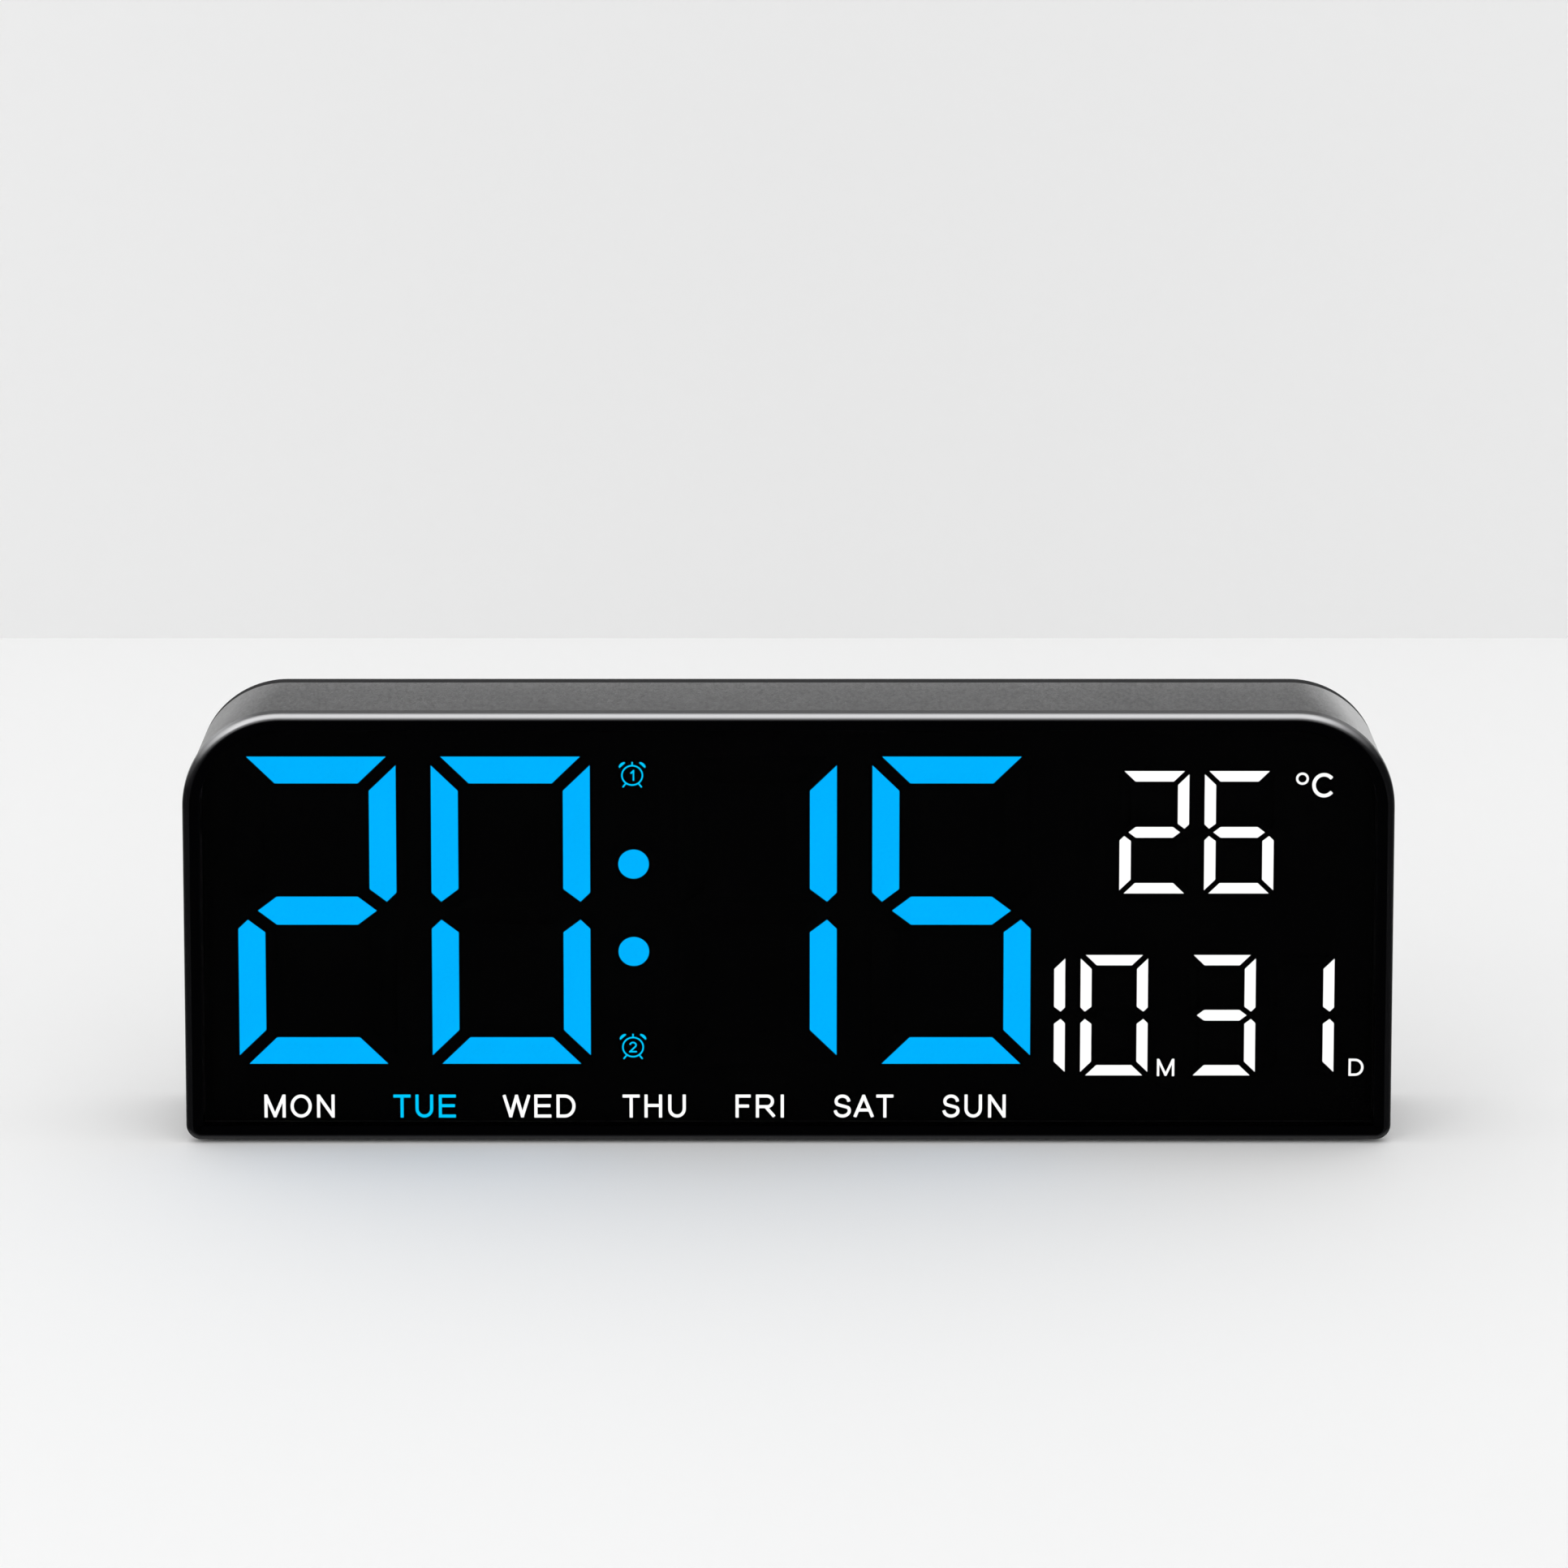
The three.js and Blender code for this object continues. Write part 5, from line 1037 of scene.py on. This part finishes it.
def makeTurned():
    model = addTurned(buttonProfile, 64)
    for word in ("mode", "set", "up", "down"):
        low, high = boxOf(word + "_button")
        piece = setPlace(
            copyOf(model), (-quarterTurn, 0, 0), ((low.x + high.x) / 2, low.y, (low.z + high.z) / 2))
        finishPiece(
            piece, word + "_cap", word + "_key", [buttonPlastic], [word + "_button"])
    bpy.data.objects.remove(model)
    model = addTurned(footProfile, 56)
    for index in range(4):
        low, high = boxOf(f"rubber_foot_{index + 1}")
        piece = setPlace(copyOf(model), at=((low.x + high.x) / 2, (low.y + high.y) / 2, low.z))
        finishPiece(
            piece, f"rubber_pad_{index + 1}", "clock", [footRubber],
            [f"rubber_foot_{index + 1}"])
    bpy.data.objects.remove(model)
    low, high = boxOf("sounder")
    piece = addTurned(sounderProfile, 56)
    setPlace(piece, (-quarterTurn, 0, 0), ((low.x + high.x) / 2, low.y, (low.z + high.z) / 2))
    finishPiece(piece, "piezo_sounder", "clock", [blackMoulding], ["sounder"])


makeTurned()
print("buttons, feet and sounder made")

# The power socket: a drawn steel shell with a tongue and two rows of contacts
socket = {"radius": 1.62, "shell": 0.33, "depth": 6.0, "tongue": (3.3, 0.35), "tongueY": (7.3, 12.3),
          "tongueEdge": 0.15, "sunk": 0.02, "pads": 12, "padPitch": 0.5, "padWidth": 0.26,
          "padLength": 3.2, "padInset": 0.3, "padProud": 0.03}


def makeSocket():
    low, high = boxOf("usb_socket")
    shell = addPlate(low, high, socket["radius"], socket["radius"], 14)
    startEdit(shell)
    pick(shell, "FACE", lambda at, way: way.y > 0.99)
    bpy.ops.mesh.inset(thickness=socket["shell"] * mm, depth=0)
    bpy.ops.mesh.extrude_region_move(TRANSFORM_OT_translate={"value": (0, -socket["depth"] * mm, 0)})
    endEdit()
    finishPiece(shell, "socket_shell", "clock", [nickel], ["usb_socket"])
    x, z = (low.x + high.x) / 2, (low.z + high.z) / 2
    half, thin = socket["tongue"]
    startY, endY = socket["tongueY"]
    tongue = addBlock((x - half, startY - socket["sunk"], z - thin), (x + half, endY, z + thin))
    startEdit(tongue)
    roundEdges(tongue, socket["tongueEdge"], 3, lambda at, way: at.y > endY - sliver)
    endEdit()
    finishPiece(tongue, "socket_tongue", "clock", [blackMoulding])
    pads = []
    padHalf, padThin, padEndY = socket["padWidth"] / 2, socket["padProud"], endY - socket["padInset"]
    for side in (-1, 1):
        for index in range(socket["pads"]):
            padX = x + (index - (socket["pads"] - 1) / 2) * socket["padPitch"]
            pads.append(addBlock(
                (padX - padHalf, padEndY - socket["padLength"], z + side * thin - padThin),
                (padX + padHalf, padEndY, z + side * thin + padThin)))
    choose(*pads)
    bpy.ops.object.join()
    finishPiece(pads[0], "socket_contacts", "clock", [goldPlate])


makeSocket()
print("socket made")

# AAA cells in a plain wrap with a bare cap at each end
cell = {"bandFrom": 34, "bandTo": 41, "bareRadius": 4.74}
cellProfile = [(0, 0.1), (3.6, 0.1), (3.8, 0), (4.75, 0), (4.8, 0.05), (5.0, 0.1), (5.2, 0.3),
               (5.2, cell["bandFrom"]), (5.2, cell["bandTo"]), (5.2, 43.4), (5.0, 43.6), (4.8, 43.65),
               (4.75, 43.7), (3.9, 43.7), (3.6, 43.45), (2.2, 43.45), (1.9, 43.6), (1.9, 44.35),
               (1.75, 44.5), (0, 44.5)]


def makeCells():
    for index, plus in enumerate((1, -1, 1)):  # which way each cell's plus end points
        low, high = boxOf(f"battery_cell_{index + 1}")
        middle = (low + high) / 2
        minusX = low.x if plus > 0 else high.x
        piece = addTurned(cellProfile, 64)
        setPlace(piece, (0, plus * quarterTurn, 0), (minusX, middle.y, middle.z))
        finishPiece(
            piece, f"aaa_cell_{index + 1}", "clock", [cellWrap, cellBand, nickel],
            [f"battery_cell_{index + 1}"])
        paintFaces(piece, 1, lambda at, way: cell["bandFrom"] < abs(at.x - minusX) < cell["bandTo"])
        paintFaces(
            piece, 2, lambda at, way: math.hypot(at.y - middle.y, at.z - middle.z) < cell["bareRadius"])


makeCells()
for nodeName in ("contact_positive", "contact_link_1", "contact_link_2", "contact_negative"):
    contact = mergedCopy(nodeName)
    finishPiece(contact, nodeName + "_strip", "clock", [nickel], [nodeName], 50)
print("cells and contacts made")

# Every CAD piece that still shows keeps its form and gets its slot's finish
for nodeName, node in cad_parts.items():
    slotName = node.data.materials[0].name
    node.data.materials[0] = finishOfSlot[slotName]
print("inner pieces finished")

# Floor, backdrop, lamps and camera
studio = {"reach": 6.0, "wallY": 0.29, "wallHeight": 2.4, "floorColour": (0.87, 0.87, 0.87),
          "wallColour": (0.88, 0.88, 0.88), "patchShade": 0.985, "worldStrength": 0.99}
lamps = [  # name, place, aim, width and depth in metres, power in watts
    ("topStrip", (0, 0.05, 1.3), (0, 0, 0), 2.2, 0.5, 2.7),
    ("leftKey", (-1.3, -1.5, 1.3), (0, 0, 0.04), 0.8, 0.8, 2.8)]
camera = {"lens": 350.2, "sensor": 36, "distance": 2842, "pitch": 18.65, "aim": (-0.83, 0, 66.23)}


def makeStage():
    bpy.ops.mesh.primitive_plane_add(size=2 * studio["reach"])
    floor = bpy.context.object
    floor.name = "floor"
    bpy.ops.mesh.primitive_plane_add(size=1, rotation=(quarterTurn, 0, 0))
    wall = bpy.context.object
    wall.name = "backdrop"
    wall.scale = (2 * studio["reach"], studio["wallHeight"], 1)
    wall.location = (0, studio["wallY"], studio["wallHeight"] / 2)
    choose(wall)
    bpy.ops.object.transform_apply(location=True, rotation=True, scale=True)
    sides = ((floor, "paleFloor", studio["floorColour"]), (wall, "paleWall", studio["wallColour"]))
    for piece, name, colour in sides:
        material, tree, shader = newMaterial(name, {"Roughness": 1.0, "Specular IOR Level": 0.0})
        share = mapRange(tree, addNoise(tree, addPlace(tree), 3, 2), 0.3, 0.7, 0, 1)
        patch = tuple(part * studio["patchShade"] for part in colour)
        tree.links.new(addMix(tree, share, (*colour, 1), (*patch, 1)), shader.inputs["Base Color"])
        if piece is wall:  # from behind the backdrop is see-through, so that the clock's back shows
            seeThrough = addNode(tree, "ShaderNodeBsdfTransparent")
            either = addNode(tree, "ShaderNodeMixShader")
            tree.links.new(addNode(tree, "ShaderNodeNewGeometry").outputs["Backfacing"], either.inputs[0])
            tree.links.new(shader.outputs[0], either.inputs[1])
            tree.links.new(seeThrough.outputs[0], either.inputs[2])
            tree.links.new(either.outputs[0], tree.nodes["Material Output"].inputs["Surface"])
        piece.data.materials.append(material)


def addSoftbox(name, at, aim, width, depth, power):
    light = bpy.data.lights.new(name, "AREA")
    light.shape = "RECTANGLE"
    light.size = width
    light.size_y = depth
    light.energy = power
    lamp = bpy.data.objects.new(name, light)
    bpy.context.collection.objects.link(lamp)
    lamp.location = at
    lamp.rotation_euler = (Vector(aim) - Vector(at)).to_track_quat("-Z", "Y").to_euler()


makeStage()
for lamp in lamps:
    addSoftbox(*lamp)
world = bpy.data.worlds.new("paleRoom")
bpy.context.scene.world = world
world.use_nodes = True
background = world.node_tree.nodes["Background"]
background.inputs["Color"].default_value = (1, 1, 1, 1)
background.inputs["Strength"].default_value = studio["worldStrength"]

view = bpy.data.cameras.new("photoView")
view.lens = camera["lens"]
view.sensor_width = camera["sensor"]
photoView = bpy.data.objects.new("photoView", view)
bpy.context.collection.objects.link(photoView)
pitch = math.radians(camera["pitch"])
back = Vector((0, -math.cos(pitch), math.sin(pitch)))
photoView.location = (Vector(camera["aim"]) + back * camera["distance"]) * mm
photoView.rotation_euler = (quarterTurn - pitch, 0, 0)
bpy.context.scene.camera = photoView
bpy.context.scene.view_settings.view_transform = "Standard"
print("studio and camera made")
